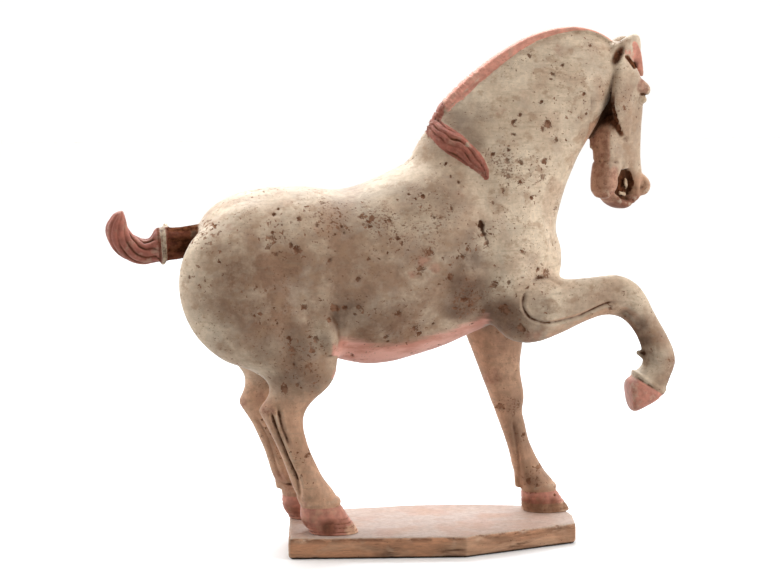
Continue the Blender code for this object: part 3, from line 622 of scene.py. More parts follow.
def mane_band():
    """Hogged mane: a strap along the crest from withers to poll."""
    return loft([
        (-4, 399, 6, 391, 0, 7.5, 3.0),
        (8, 418.5, 16, 409, 0, 9, 3.2),
        (23, 434.5, 30, 424, 0, 9, 3.2),
        (43, 451.5, 50, 442, 0, 9, 3.2),
        (63, 465.8, 69, 457, 0, 9, 3.2),
        (83, 478, 87, 470, 0, 8.5, 3.2),
        (103, 487, 106, 480, 1, 8, 3.2),
        (124, 492.5, 125, 486.5, 1.5, 7.5, 3.2),
        (144, 494.3, 143, 489.5, 2, 7, 3.0),
        (164, 490.5, 162, 486.5, 3.5, 6.2, 2.6),
        (179, 483.5, 176.5, 479.5, 5, 5.4, 2.4),
        (186, 478.5, 184, 474.5, 6, 4.4, 2.2),
    ], round_ends=(0.1, 0.6))


def mane_lock(skin):
    """Lock that falls from the withers over the right shoulder, laid on the skin below it."""
    rows = [(-3, -5, 397, 8.0)]
    for (x, z), half in zip(LOCK_LINE[1:], LOCK_HALF[1:]):
        hit = skin.ray_cast(Vector((x, -200.0, z)), Vector((0.0, 1.0, 0.0)))[0]
        rows.append((x, hit.y - 0.4, z, half))
    return tube(rows, flat=0.46, lean=(0, 1, 0))


def lock_half(passed):
    """Half the lock's width at a distance along it: wide to past its middle, drawn to a point."""
    spans = np.linalg.norm(np.diff(np.array(LOCK_LINE), axis=0), axis=1)
    return np.interp(passed, np.concatenate([[0.0], np.cumsum(spans)]), LOCK_HALF)


def tail():
    """Docked and bound tail that leaves the rump level and curls up at its end."""
    return loft([
        (-225, 270, -222, 304, 0, 14),
        (-241, 269.5, -238, 301, 0, 15),
        (-256, 267, -255.5, 299, 0, 15.5),
        (-268, 266, -268, 299.5, 0, 15.5),
        (-277, 264.5, -274, 298, 0, 14.5),
        (-286, 263, -279.5, 289.5, 0, 13.5),
        (-296, 265, -285.5, 288.5, 0, 13),
        (-306, 270, -291, 290.5, 0, 12.5),
        (-313.5, 276, -296, 293.5, 0, 12),
        (-319.5, 285, -300, 299, 0, 11.5),
        (-322.5, 295, -301.5, 304.5, 0, 10.5),
        (-321.5, 303, -303, 310.5, 0, 9),
        (-317, 310, -304.5, 314.5, 0, 6.5),
    ], round_ends=(0.5, 0.5))


def tail_ring():
    """Binding ring round the tail, a little proud of it."""
    return loft([
        (-268.8, 262.5, -266.0, 303.5, 0, 18.5),
        (-265.0, 262.5, -262.2, 303.5, 0, 18.5),
    ], round_ends=(0.06, 0.06))


def hoof(front, back, toe, heel, y, height):
    """A standing hoof: a collar at the coronet, a wall that flares to the toe and is undercut at
    the heel, and a foot that runs on below height nought, where the sole is cut level."""
    return loft([
        (front - 3.5, height + 8, back + 1, height + 6, y, 16.2, 2.2),
        (front - 0.8, height + 6, back - 0.6, height + 4, y, 17.8, 2.3),
        (front - 0.2, height + 2, back - 0.6, height + 0.5, y, 18.3, 2.3),
        (front - 1.4, height + 0.5, back + 0.5, height - 1, y, 17.2, 2.3),
        (front + 1.0, height - 2, back - 0.2, height - 3, y, 18.8, 2.3),
        (front + 0.45 * (toe - front), height * 0.55, back + 0.2, height * 0.5, y, 20.3, 2.4),
        (front + 0.8 * (toe - front), height * 0.25, (back + heel) / 2, height * 0.22, y, 21.2, 2.4),
        (toe, 1.5, heel, 1.5, y, 21.8, 2.4),
        (toe + 1, -10.0, heel, -10.0, y, 22.0, 2.4),
    ], round_ends=(0.05, 0.05))


def hooves():
    """The three standing hooves and the raised one, whose sole faces backwards."""
    y = -RAISED_OUT
    raised = loft([
        (232, 133, 197, 154, y, 15.0, 2.2),
        (230.5, 130.5, 196.8, 152, y, 15.6, 2.3),
        (228.5, 128, 196.2, 150.5, y, 15.8, 2.3),
        (226, 126.5, 197, 148.5, y, 16.4, 2.3),
        (222, 123, 196.5, 147.5, y, 18.0, 2.4),
        (211, 117, 195.5, 146.5, y, 19.0, 2.4),
        (199.5, 112, 193.5, 145, y, 19.3, 2.4),
        (196.5, 112.5, 192, 143.5, y, 18.5, 2.4),
    ], round_ends=(0.05, 0.12))
    return [
        hoof(-97, -137, -80.5, -129, -HIND_OUT, 27.0),
        hoof(-105, -147, -90, -141, HIND_OUT - 1, 24.0),
        hoof(136.5, 100.5, 149.5, 101, FORE_OUT, 21.0),
        raised,
    ]


def fetlock_tufts():
    """The small pointed tuft behind each fetlock."""
    return [
        tube([(-132, -HIND_OUT, 44, 8), (-134, -HIND_OUT, 35, 7), (-135, -HIND_OUT, 28, 3.5)]),
        tube([(-146, HIND_OUT - 1, 48, 8), (-148, HIND_OUT - 1, 37, 6.5), (-149, HIND_OUT - 1, 29, 4)]),
        tube([(100, FORE_OUT, 42, 8), (98, FORE_OUT, 30, 5.5), (97, FORE_OUT, 23, 3.5)]),
        tube([(216, -RAISED_OUT, 166, 6), (207.5, -RAISED_OUT, 169, 4.2), (201, -RAISED_OUT, 171.5, 2.0)]),
    ]


# Fusing and smoothing


def mesh_object(name, shells):
    """One mesh object holding all the shells, which still overlap."""
    starts = np.cumsum([0] + [len(points) for points, _ in shells])
    points = np.concatenate([points for points, _ in shells])
    faces = [[start + i for i in face] for start, (_, polys) in zip(starts, shells) for face in polys]
    mesh = bpy.data.meshes.new(name)
    mesh.from_pydata(points.tolist(), [], faces)
    result = bpy.data.objects.new(name, mesh)
    bpy.context.scene.collection.objects.link(result)
    return result


def evaluated(obj):
    """Replaces the object's mesh with what its modifiers make of it."""
    graph = bpy.context.evaluated_depsgraph_get()
    result = bpy.data.meshes.new_from_object(obj.evaluated_get(graph))
    obj.modifiers.clear()
    obj.data = result
    return obj


def fuse(obj, voxel):
    """Fuses the overlapping shells into one closed skin."""
    remesh = obj.modifiers.new("Fuse", "REMESH")
    remesh.mode = "VOXEL"
    remesh.voxel_size = voxel
    return evaluated(obj)


def thin_out(obj, triangles):
    """Collapses the fine skin to the given number of triangles."""
    count = sum(len(p.vertices) - 2 for p in obj.data.polygons)
    collapse = obj.modifiers.new("Thin out", "DECIMATE")
    collapse.ratio = min(1.0, triangles / count)
    return evaluated(obj)


def level_soles(obj):
    """Cuts everything below height nought away, and closes the cut flat."""
    form = bmesh.new()
    form.from_mesh(obj.data)
    everything = form.verts[:] + form.edges[:] + form.faces[:]
    cut = bmesh.ops.bisect_plane(form, geom=everything, plane_co=(0, 0, 0), plane_no=(0, 0, 1),
                                 clear_inner=True)
    rim = [e for e in cut["geom_cut"] if isinstance(e, bmesh.types.BMEdge)]
    bmesh.ops.contextual_create(form, geom=rim)
    bmesh.ops.triangulate(form, faces=form.faces[:])
    bmesh.ops.recalc_face_normals(form, faces=form.faces[:])
    form.to_mesh(obj.data)
    form.free()
    return obj


def points_of(mesh):
    """All the mesh's points, as rows."""
    points = np.empty(len(mesh.vertices) * 3)
    mesh.vertices.foreach_get("co", points)
    return points.reshape(-1, 3)


def normals_of(mesh):
    """All the points' outward directions, as rows."""
    normals = np.empty(len(mesh.vertices) * 3)
    mesh.vertex_normals.foreach_get("vector", normals)
    return normals.reshape(-1, 3)


def put_points(mesh, points):
    """Moves the mesh's points."""
    mesh.vertices.foreach_set("co", points.ravel())
    mesh.update()


def links_of(mesh):
    """Both ends of every edge, each way round, and each point's number of neighbours."""
    edges = np.empty(len(mesh.edges) * 2, dtype=np.int64)
    mesh.edges.foreach_get("vertices", edges)
    edges = edges.reshape(-1, 2)
    ends = np.concatenate([edges[:, 0], edges[:, 1]])
    others = np.concatenate([edges[:, 1], edges[:, 0]])
    return ends, others, np.maximum(np.bincount(ends, minlength=len(mesh.vertices)), 1)


def neighbours_mean(values, ends, others, valence):
    """The mean of each point's neighbours."""
    return np.bincount(ends, values[others], len(values)) / valence


def fill_creases(obj, rounds, ridge_share):
    """Moves each point towards its neighbours' mean: fully in a crease, by a share on a ridge."""
    mesh = obj.data
    points = points_of(mesh)
    ends, others, valence = links_of(mesh)
    for _ in range(rounds):
        mean = np.stack([neighbours_mean(points[:, k], ends, others, valence) for k in range(3)], axis=1)
        pull = mean - points
        put_points(mesh, points)
        normals = normals_of(mesh)
        lift = (pull * normals).sum(axis=1)[:, None]
        sideways = pull - normals * lift
        points = points + 0.5 * sideways + normals * lift * np.where(lift > 0, 0.55, 0.55 * ridge_share)
    put_points(mesh, points)
    return obj


def hollowness(mesh, rounds):
    """How hollow the skin is at each point, in parts per millimetre: how far its neighbours' mean
    stands out from it, over the square of the distance to them, evened out over some rounds."""
    points = points_of(mesh)
    normals = normals_of(mesh)
    ends, others, valence = links_of(mesh)
    mean = np.stack([neighbours_mean(points[:, k], ends, others, valence) for k in range(3)], axis=1)
    spread = np.bincount(ends, ((points[others] - points[ends]) ** 2).sum(axis=1), len(points)) / valence
    hollow = 4 * ((mean - points) * normals).sum(axis=1) / np.maximum(spread, 1e-6)
    for _ in range(rounds):
        hollow = (hollow + neighbours_mean(hollow, ends, others, valence)) / 2
    return hollow


def skin_tree(obj):
    """A search tree over the object's faces."""
    form = bmesh.new()
    form.from_mesh(obj.data)
    tree = BVHTree.FromBMesh(form)
    form.free()
    return tree


# Measures on the skin


def step_up(values, low, high):
    """Nought below low, one above high, and an eased rise between."""
    t = np.clip((values - low) / (high - low), 0.0, 1.0)
    return t * t * (3 - 2 * t)


def lumps(points, size, seed):
    """Smooth random lumps between minus one and one: a random value at each corner of a cubic
    lattice of the given size, blended by eased shares of the distance to it."""
    place = points / size + 37.0 * seed
    cell = np.floor(place).astype(np.int64)
    t = place - cell
    t = t * t * (3 - 2 * t)
    total = np.zeros(len(points))
    for corner in np.ndindex(2, 2, 2):
        at = cell + np.array(corner)
        mixed = at[:, 0] * 73856093 ^ at[:, 1] * 19349663 ^ at[:, 2] * 83492791 ^ (seed * 2654435)
        mixed = (mixed ^ (mixed >> 13)) * 1274126177 & 0x7FFFFFFF
        value = ((mixed ^ (mixed >> 15)) & 0xFFFF) / 32767.5 - 1.0
        total += value * np.where(np.array(corner), t, 1.0 - t).prod(axis=1)
    return total


def along_line(points, line):
    """The nearest place on a line of straight spans: how far off it is, how far along, and how far
    to the left, each as an array."""
    line = np.asarray(line, dtype=float)
    start = line[:-1]
    span = np.diff(line, axis=0)
    length = np.linalg.norm(span, axis=1)
    from_start = points[:, None, :] - start[None]
    share = np.clip((from_start * span).sum(axis=2) / length**2, 0.0, 1.0)
    gap = from_start - share[:, :, None] * span
    off = np.linalg.norm(gap, axis=2)
    best = off.argmin(axis=1)
    rows = np.arange(len(points))
    passed = np.concatenate([[0.0], np.cumsum(length)])[best] + share[rows, best] * length[best]
    left = span[best, 0] * from_start[rows, best, 1] - span[best, 1] * from_start[rows, best, 0]
    return off[rows, best], passed, np.sign(left) * off[rows, best]


def near_line(points, line, reach):
    """Which points lie within reach of the line's own box."""
    line = np.asarray(line, dtype=float)
    low = line.min(axis=0) - reach
    high = line.max(axis=0) + reach
    return np.where(((points > low) & (points < high)).all(axis=1))[0]


def in_head(points):
    """Points in the head's own frame."""
    return (points - POLL) @ head_axes().T


# Relief pressed into the skin: each function gives how deep every point sinks, as a share

LEG_GROOVES = [
    ("right", (-80, -34), 2.4, 0.9, [(124, 240), (115, 245), (105, 249), (95, 248), (88, 243)]),
    ("right", (-80, -44), 1.5, 0.6,
     [(85, 240), (81, 230), (80.5, 222), (87, 211), (104, 205), (122, 207), (139, 211), (153, 217),
      (170, 223), (184, 222)]),
    ("right", (-62, -12), 1.4, 0.4, [(193, 150), (200, 146.5), (208, 141.5), (220, 133.5), (230, 127)]),
    ("right", (-66, -36), 1.9, 1.2,
     [(-168, 126), (-163, 109), (-156.5, 91.4), (-150, 73.8), (-143.2, 58.9), (-139.6, 43.8),
      (-137.5, 30)]),
    ("right", (-66, -36), 1.9, 0.9,
     [(-160.6, 130), (-159.3, 119), (-156.5, 107), (-152, 95), (-148.5, 84)]),
    ("right", (-75, -20), 3.6, 0.95,
     [(-113, 222), (-106, 212), (-101.5, 201), (-100.5, 188), (-104, 178)]),
    ("left", (20, 75), 3.6, 0.95, [(-116, 222), (-109, 212), (-104.5, 201), (-103.5, 188), (-107, 178)]),
    ("left", (40, 70), 2.4, 1.0, [(-184, 118), (-172, 91), (-163, 66), (-156, 46), (-150, 30)]),
    ("right", (-66, -20), 4.2, 1.2, [(180, 216), (190, 205.5), (199, 191), (205, 176), (209, 160)]),
    ("right", (16, 36), 1.8, 0.5, [(-177, 109), (-163, 83), (-150.5, 45), (-143.5, 36)]),
    ("right", (14, 36), 1.6, 0.8, [(-152, 39), (-145.5, 35.5), (-137.4, 36.5), (-134.3, 41.5)]),
    ("right", (14, 34), 2.2, 0.7, [(87.4, 98.4), (91.7, 74.5), (95, 48.4), (97.3, 24.4)]),
    ("left", (34, 60), 1.8, 0.8, [(84, 100), (90, 75), (94, 48), (97, 26)]),
    ("right", (-90, -30), 1.9, 0.6, [(-121, 175.2), (-114, 176), (-106, 176.5), (-98.3, 173.5)]),
]

HEAD_GROOVES = [
    (1.3, 1.0, [(12, 18.5, -50), (17, 19.5, -51), (23, 18.5, -52.5), (28, 14, -55)]),
    (1.3, 0.8, [(13, 18, -65.5), (18, 19, -65), (23, 16.5, -62.5), (26.5, 12, -58.5)]),
    (1.2, 0.8, [(3, 12.5, -156.5), (10, 12.5, -157), (17, 11, -157.5), (21, 6, -160), (21.5, 0, -161)]),
    (1.2, 0.7, [(-22, 11, -149), (-17, 12.5, -152), (-12, 12.5, -154)]),
    (1.5, 0.6, [(26, 9, -137), (29, 11.5, -140), (28.5, 12.5, -144)]),
    (1.6, 0.9, [(-13, 13.4, -118), (-21, 12.4, -117.5), (-27, 7, -117), (-28.5, 0, -117)]),
    (1.3, 0.8, [(22, 10, -130.5), (21, 13.5, -137), (20, 14.8, -144), (18.5, 13.5, -150)]),
]

# Broad shallow valleys between the masses, in side view: half width, depth and line

VALLEYS = [
    (13.0, 2.6, [(44, 352), (42, 322), (41, 296), (44, 268), (52, 240), (57, 222)]),
    (12.0, 2.2, [(-104, 236), (-93, 216), (-84, 198)]),
    (9.0, 1.6, [(18, 398), (36, 416), (58, 434), (80, 449), (104, 461)]),
    (9.0, 1.6, [(102, 330), (96, 296), (92, 268)]), (10.0, 1.8, [(-158, 215), (-150, 190), (-146, 165)]),
    (8.0, 1.4, [(160, 228), (176, 232), (192, 226)]),
    (6.5, 3.0, [(186, 211), (197, 205), (205, 192), (210, 178), (214, 168)]),
    (9.0, 2.2, [(38, 236), (42, 220), (52, 205), (66, 195)]),
]


def valleys(points, normals):
    """The broad valleys' depth at each point, in millimetres, on both sides of the figure."""
    sink = np.zeros(len(points))
    for width, depth, path in VALLEYS:
        line = through(path, 12 * len(path))
        near = near_line(points[:, ::2], line, 2.5 * width)
        off = along_line(points[near][:, ::2], line)[0]
        sink[near] += depth * np.abs(normals[near, 1]) * np.exp(-((off / width) ** 2))
    return sink


def leg_lines(points, normals):
    """For every cut line on the legs: the points near it, how far off they are in widths of the
    line, its depth, and how much they face its side, easing to nought at the line's ends."""
    for side, (low, high), width, depth, path in LEG_GROOVES:
        line = through(path, 8 * len(path))
        near = near_line(points[:, ::2], line, 8)
        near = near[(points[near, 1] > low) & (points[near, 1] < high)]
        off, passed, _ = along_line(points[near][:, ::2], line)
        length = np.linalg.norm(np.diff(line, axis=0), axis=1).sum()
        facing = np.clip(normals[near, 1] * (-1.0 if side == "right" else 1.0), 0.0, 1.0)
        ends = step_up(np.minimum(passed, length - passed), -1.0, 12.0)
        yield near, off / width, depth, facing * ends


def grooves(points, normals):
    """Cut lines on the legs and head: a bell curve of the distance from each line, with low lips
    beside it, on the side that faces it."""
    sink = np.zeros(len(points))
    for near, off, depth, share in leg_lines(points, normals):
        sink[near] += depth * share * (np.exp(-(off**2)) - 0.22 * np.exp(-((off - 2.3) ** 2)))
    local = in_head(points)
    for width, depth, path in HEAD_GROOVES:
        for side in (-1.0, 1.0):
            line = through(np.array(path) * [1.0, side, 1.0], 8 * len(path))
            near = near_line(local, line, 5)
            off = along_line(local[near], line)[0]
            sink[near] += 0.55 * depth * np.exp(-((off / width) ** 2))
    return sink


def line_soil_and_shade(points, normals):
    """Dark brown in the cut lines of the legs, partly earth held in them and partly painted shade, broken
    up along them.
    """
    soil_and_shade = np.zeros(len(points))
    for near, off, depth, share in leg_lines(points, normals):
        line = (0.6 * min(depth, 1.0) * share**0.5 * np.exp(-((off / 0.75) ** 2))
                * (0.85 + 0.3 * lumps(points[near], 7.0, 61)))
        soil_and_shade[near] = np.maximum(soil_and_shade[near], line)
    return soil_and_shade


def lock_strands(points):
    """Strands of the lock: a coarse and a fine eased wave across its width, their lines wandering
    as they draw together to its tip."""
    sink = np.zeros(len(points))
    near = near_line(points[:, ::2], LOCK_LINE, 12)
    near = near[points[near, 1] < -4]
    off, passed, left = along_line(points[near][:, ::2], LOCK_LINE)
    width = lock_half(passed)
    phase = 1.5 * left / width + 0.22 * np.sin(passed / 9.0) + 0.42 * lumps(points[near], 11.0, 41)
    coarse = (0.5 - 0.5 * np.cos(2 * math.pi * phase)) ** 2 * (0.9 + 0.5 * lumps(points[near], 8.0, 42))
    fine = (0.5 - 0.5 * np.cos(2 * math.pi * (2.7 * phase + 0.3))) ** 2 * 0.45
    sink[near] = step_up(width - off, -0.5, 1.5) * np.maximum(coarse, fine)
    return sink


def mane_notches(points):
    """Small uneven teeth on the mane's outer edge near the withers, and faint lines across it."""
    sink = np.zeros(len(points))
    near = near_line(points[:, ::2], CREST_INNER, 16)
    near = near[np.abs(points[near, 1] - 2) < 16]
    _, passed, left = along_line(points[near][:, ::2], CREST_INNER)
    low = step_up(135 - passed, 0.0, 60.0)
    wander = lumps(points[near], 10.0, 3)
    saw = (passed + 0.9 * left) / 7.4 + 0.45 * wander
    saw = 1.0 - saw % 1.0
    fine = 0.5 - 0.5 * np.cos(2 * math.pi * (passed / 3.4 + 0.9 * wander))
    teeth_deep = step_up(left, 6.0, 12.0) * low * saw**2 * (1.5 + 0.6 * wander)
    sink[near] = teeth_deep + step_up(left, 2.5, 5.0) * fine * (0.12 + 0.3 * low)
    return sink


def tail_strands(points):
    """Strands wound round the tail: a wave of the angle round its middle line plus a share of the
    distance along it, deeper on the bend than at the tip."""
    sink = np.zeros(len(points))
    near = near_line(points[:, ::2], TAIL_LINE, 18)
    near = near[(np.abs(points[near, 1]) < 18) & (points[near, 0] < -240)]
    _, passed, left = along_line(points[near][:, ::2], through(TAIL_LINE, 60))
    angle = np.arctan2(points[near, 1], left)
    wave = 0.5 - 0.5 * np.cos(9 * angle + passed / 3.2)
    bend = step_up(passed, 46, 52) * (1 - 0.6 * step_up(passed, 78, 92))
    sink[near] = wave**3 * (0.25 + bend)
    return sink


def growth_rings(points):
    """Level growth lines round the hooves, a little uneven, deeper low down and in random patches."""
    height = points[:, 2] + 0.7 * lumps(points, 14.0, 5)
    low = step_up(24 - points[:, 2], 0.0, 8.0) * (points[:, 2] < 26)
    rings = (0.5 - 0.5 * np.cos(2 * math.pi * height / 4.3)) ** 4
    return low * rings * (0.35 + 0.4 * step_up(lumps(points, 20.0, 6), -0.3, 0.6))


# Patches where the slip has gone from the right side: x, z, radius and depth

LOSSES = [
    (-244, 255, 1.5, 1), (-220, 304, 3.2, 0.5), (-179, 221, 1.8, 1), (-170, 284, 3.4, 0.5),
    (-168, 293, 3, 1), (-163, 277, 2.6, 0.5), (-163, 314, 1.5, 1), (-162, 211, 1.2, 1),
    (-158, 319, 1.5, 1), (-154, 146, 3.8, 0.7), (-151, 196, 2.5, 0.6), (-148, 286, 2.2, 1),
    (-147, 185, 2.5, 0.6), (-146, 170, 1.6, 0.8), (-142, 150, 2.6, 0.7), (-142, 281, 3, 1),
    (-139, 310, 2.6, 1), (-136, 226, 2.6, 1), (-133, 168, 2, 0.7), (-131, 78, 3, 0.4),
    (-128, 183, 3.2, 0.7), (-124, 194, 3, 0.7), (-122, 304, 2, 0.9), (-114, 324, 2.4, 0.6),
    (-112, 213, 3.6, 0.7), (-111, 271, 2.2, 1), (-106, 224, 3.8, 1), (-105, 295, 1.1, 0.9),
    (-98, 302, 1.8, 1), (-97, 224, 3.4, 1), (-96, 296, 1.3, 0.9), (-86, 217, 2, 0.9),
    (-85, 174, 2.4, 0.8), (-84, 252, 2, 1), (-83, 225, 2.6, 0.9), (-78, 311, 2.5, 0.9),
    (-74, 271, 1.7, 1), (-71, 302, 1.8, 0.9), (-69, 309, 2.4, 0.9), (-54, 194, 3, 0.6),
    (-52, 189, 2, 0.7), (-52, 308, 2.2, 0.7), (-45, 290, 2, 0.7), (-43, 218, 2.5, 1), (-31, 332, 1.4, 1),
    (-27, 202, 2.4, 0.9), (-23, 259, 5, 0.35), (-22, 196, 3.2, 0.9), (-18, 330, 2.3, 1),
    (-15, 278, 4.6, 0.5), (-8, 206, 1.4, 0.9), (-8, 310, 1.6, 0.8), (7, 252, 3.2, 1), (8, 361, 1.5, 1),
    (9, 319, 2, 0.7), (11, 349, 1.3, 1), (12, 221, 2, 0.8), (14, 221, 2, 0.9), (18, 343, 2, 0.8),
    (19, 272, 1.6, 1), (21, 229, 3, 0.7), (22, 229, 3.6, 0.8), (24, 279, 2.2, 1), (29, 225, 3.8, 0.8),
    (40, 302, 2.8, 1.4), (41, 293, 3, 1.4), (45, 284, 2.6, 0.6), (52, 244, 4, 0.9), (52, 323, 2, 0.5),
    (53, 370, 2, 0.8), (62, 335, 2.8, 0.4), (63, 218, 5, 0.8), (66, 246, 2, 0.9), (67, 364, 3, 0.7),
    (68, 348, 3, 0.7), (69, 374, 2, 0.8), (74, 110, 3, 0.8), (75, 389, 2, 0.7), (75, 401, 2.6, 0.8),
    (80, 200, 4, 0.9), (80, 275, 3, 0.35), (80, 343, 2, 0.4), (81, 363, 2.4, 0.7), (82, 408, 1.6, 0.8),
    (92, 327, 2, 0.4), (93, 111, 2.4, 0.6), (95, 465, 2.2, 1), (97, 258, 1.8, 1), (99, 79, 2.8, 0.7),
    (104, 32, 3.4, 0.8), (104, 347, 2.8, 0.8), (104, 394, 2.6, 0.8), (104, 421, 1.8, 1),
    (106, 253, 4.4, 0.7), (106, 363, 3.6, 0.8), (109, 398, 4.4, 0.8), (113, 28, 2, 0.7),
    (116, 46, 3, 0.7), (117, 447, 2.2, 1), (119, 383, 2.8, 0.7), (120, 315, 2.3, 0.6),
    (127, 456, 2.2, 0.8), (131, 17, 1.6, 1.4), (148, 428, 1.5, 0.9), (151, 408, 1.4, 0.9),
    (157, 475, 1.8, 0.8), (170, 218, 3, 0.5), (191, 413, 2.4, 0.4),
]


def losses(points, normals):
    """A cone of one falling to nought round each patch of lost slip, drawn out of round; the
    finish cuts it with a fine noise. The left side has others like the right side's."""
    lost = np.zeros(len(points))
    wander = 1.0 + 0.35 * lumps(points, 3.4, 11)
    chance = np.random.default_rng(8)
    count = 80
    other = np.stack([chance.uniform(-235, 115, count), chance.uniform(190, 330, count),
                      chance.gamma(3.0, 0.75, count) + 0.6, chance.uniform(0.5, 1.0, count)], axis=1)
    other[:, 1] += 0.9 * np.clip(other[:, 0] + 20, 0, 100)
    for side, table in ((-1.0, LOSSES), (1.0, other.tolist())):
        facing = normals[:, 1] * side > 0.12
        for x, z, radius, depth in table:
            near = (facing & (np.abs(points[:, 0] - x) < 3 * radius)
                    & (np.abs(points[:, 2] - z) < 3 * radius))
            near = np.where(near)[0]
            turn, squeeze = chance.uniform(0.0, math.pi), chance.uniform(0.6, 1.0)
            dx, dz = points[near, 0] - x, points[near, 2] - z
            u = dx * math.cos(turn) + dz * math.sin(turn)
            v = (dz * math.cos(turn) - dx * math.sin(turn)) / squeeze
            off = np.hypot(u, v) / (radius * wander[near])
            bared = (0.7 + 0.3 * min(depth, 1.0)) * np.clip(1.35 - 0.62 * off, 0.0, 1.0)
            lost[near] = np.maximum(lost[near], bared)
    return lost


HOLE_LINE = [(39.2, 304.5), (39.8, 300.5), (41.6, 295), (43.8, 289), (45.5, 283), (47, 279)]


def shoulder_hole(points, normals):
    """The ragged hole in the right shoulder with a crack trailing from it, one at its middle; the finish
    paints it dark as shade.
    """
    hole = np.zeros(len(points))
    near = near_line(points[:, ::2], HOLE_LINE, 7)
    near = near[normals[near, 1] < -0.2]
    off, passed, _ = along_line(points[near][:, ::2], HOLE_LINE)
    half = np.interp(passed, [0, 3, 6, 10, 18, 26], [2.4, 3.4, 2.4, 1.4, 1.1, 0.4])
    half = half * (1.0 + 0.5 * lumps(points[near], 2.6, 47))
    hole[near] = step_up(half - off, -0.4, 1.2) * np.interp(passed, [0, 7, 12, 26], [1.0, 0.9, 0.5, 0.3])
    return hole


SPECKLED = [
    (-125, 305, 22, 0.9), (-150, 296, 18, 0.8), (-98, 312, 20, 0.8), (-62, 308, 24, 0.6),
    (-10, 300, 22, 0.6), (30, 228, 24, 0.9), (-140, 178, 26, 0.8), (-112, 186, 14, 0.7),
    (-230, 292, 16, 0.7), (72, 360, 20, 0.5), (82, 112, 14, 1.0), (108, 38, 14, 1.0), (96, 222, 18, 0.6),
    (86, 348, 24, 0.4), (-118, 68, 30, 0.5), (236, 158, 16, 0.6),
]


def gathering(points):
    """Where small specks gather: near the larger patches of lost slip."""
    rare = np.ones(len(points))
    for x, z, radius, _ in LOSSES:
        near = np.where((np.abs(points[:, 0] - x) < 26) & (np.abs(points[:, 2] - z) < 26))[0]
        off = np.hypot(points[near, 0] - x, points[near, 2] - z) / (6.0 + 1.8 * radius)
        rare[near] *= 1.0 - 0.45 * np.exp(-(off**2))
    return np.clip(1.0 - rare + soft_rounds(points, SPECKLED, 12.0, 64), 0.0, 1.3)


def unevenness(points):
    """Hand-smoothed wandering of the skin, broad and fine lumps together."""
    return 0.6 * lumps(points, 30.0, 1) + 0.3 * lumps(points, 11.0, 2) + 0.13 * lumps(points, 3.2, 4)


def press(obj, sizes):
    """Presses all the relief into the figure's skin, along each point's outward direction."""
    points = points_of(obj.data)
    normals = normals_of(obj.data)
    strands = 1.35 * lock_strands(points) + 1.2 * mane_notches(points) + 1.25 * tail_strands(points)
    sink = sizes.groove * grooves(points, normals) + sizes.strand * strands
    sink += 0.9 * growth_rings(points) + sizes.loss * step_up(losses(points, normals), 0.6, 0.95)
    sink += (2.4 * shoulder_hole(points, normals)
             + 1.4 * np.exp(-((forelock_slot(in_head(points)) / 1.7) ** 2)))
    sink += valleys(points, normals) + 4.2 * ear_hollow(points) - sizes.unevenness * unevenness(points)
    put_points(obj.data, points - normals * sink[:, None])


# Masks kept on the figure's points, for its finish


def height_over(x, table):
    """A height read off a table of (x, z) rows."""
    rows = np.asarray(table, dtype=float)
    return np.interp(x, rows[:, 0], rows[:, 1])


def hair_masks(points):
    """Pink of the mane band and forelock, the deeper red of lock, withers and tail, the tail's
    ring, and the dark root of the tail, partly pigment and partly painted shade, each nought to one."""
    x, y, z = points.T
    crest = height_over(x, CREST_INNER)
    band = (step_up(z - crest, -0.9, 0.5) * step_up(x, -8, -5) * step_up(185 - x, 0, 4)
            * (np.abs(y - 2) < 14))
    off, passed, _ = along_line(points[:, ::2], LOCK_LINE)
    lock = step_up(lock_half(passed) + 1.2 - off, -0.4, 1.0) * step_up(-y, 3, 6) * (np.abs(y) < 60)
    withers = step_up(18 - x, 0.0, 14.0) * band
    on_tail = (step_up(18.5 - along_line(points[:, ::2], TAIL_LINE)[0], 0.0, 2.0) * (x < -228)
               * (np.abs(y) < 24))
    tail = on_tail * step_up(-238 - x, 0.0, 4.0)
    ring = step_up(2.9 - np.abs(x + 266.6 + 0.07 * (z - 283)), 0.0, 1.0) * tail
    # The dark root of the tail and the dark bands beside its ring: partly pigment, partly painted shade.
    root = (step_up(x, -268, -262) * step_up(-231 - x, 0.0, 3.0) * on_tail
            * (0.86 + 0.3 * lumps(points * [0.12, 1, 1], 3.6, 44)))
    from_ring = np.abs(np.abs(x + 266.6 + 0.07 * (z - 283)) - 4.2)
    root = np.maximum(root, 0.7 * step_up(2.0 - from_ring, 0.0, 1.0) * tail)
    _, crested, left = along_line(points[:, ::2], CREST_INNER)
    # Painted highlight: a pale band down the inner edge of the lower mane, where the pink and red are left
    # off.
    painted_highlight_band = (0.5 * np.exp(-(((left - 3.6) / 2.0) ** 2)) * step_up(160 - crested, 0.0, 50.0)
              * (0.8 + 0.4 * lumps(points, 9.0, 45)))
    local = in_head(points)
    tuft = np.maximum(step_up(8.0 - off_forelock(local), 0.0, 1.5), 0.6 * ear_front(local))
    pink = np.maximum(band * (1 - withers) * (1 - painted_highlight_band), tuft)
    hair = np.maximum(np.maximum(lock, withers * (1 - painted_highlight_band)), tail)
    wander = 3.0 * lumps(points, 3.6, 50)
    for place_x, place_z, radius in ((28, 379, 3.6), (9.5, 400, 3.0)):
        hair = hair * (1 - 0.55 * step_up(radius - np.hypot(x - place_x, z - place_z) + wander, -3.0, 3.0))
    return pink, hair * (1 - ring), ring, root * (1 - ring)


def off_forelock(local):
    """How far each point of the head lies from the forelock's middle line."""
    off = np.full(len(local), 99.0)
    near = near_line(local, FORELOCK_LINE, 9)
    off[near] = along_line(local[near], FORELOCK_LINE)[0]
    return off


FORELOCK_SLOT = [(9.0, -13.2), (11.5, -16.2), (14.4, -20.2), (16.8, -23.6)]


def beside_head(local):
    """The head's points as seen from beside and behind it: how far across, how high."""
    return np.stack([0.629 * local[:, 0] + 0.777 * np.abs(local[:, 1]), local[:, 2]], axis=1)


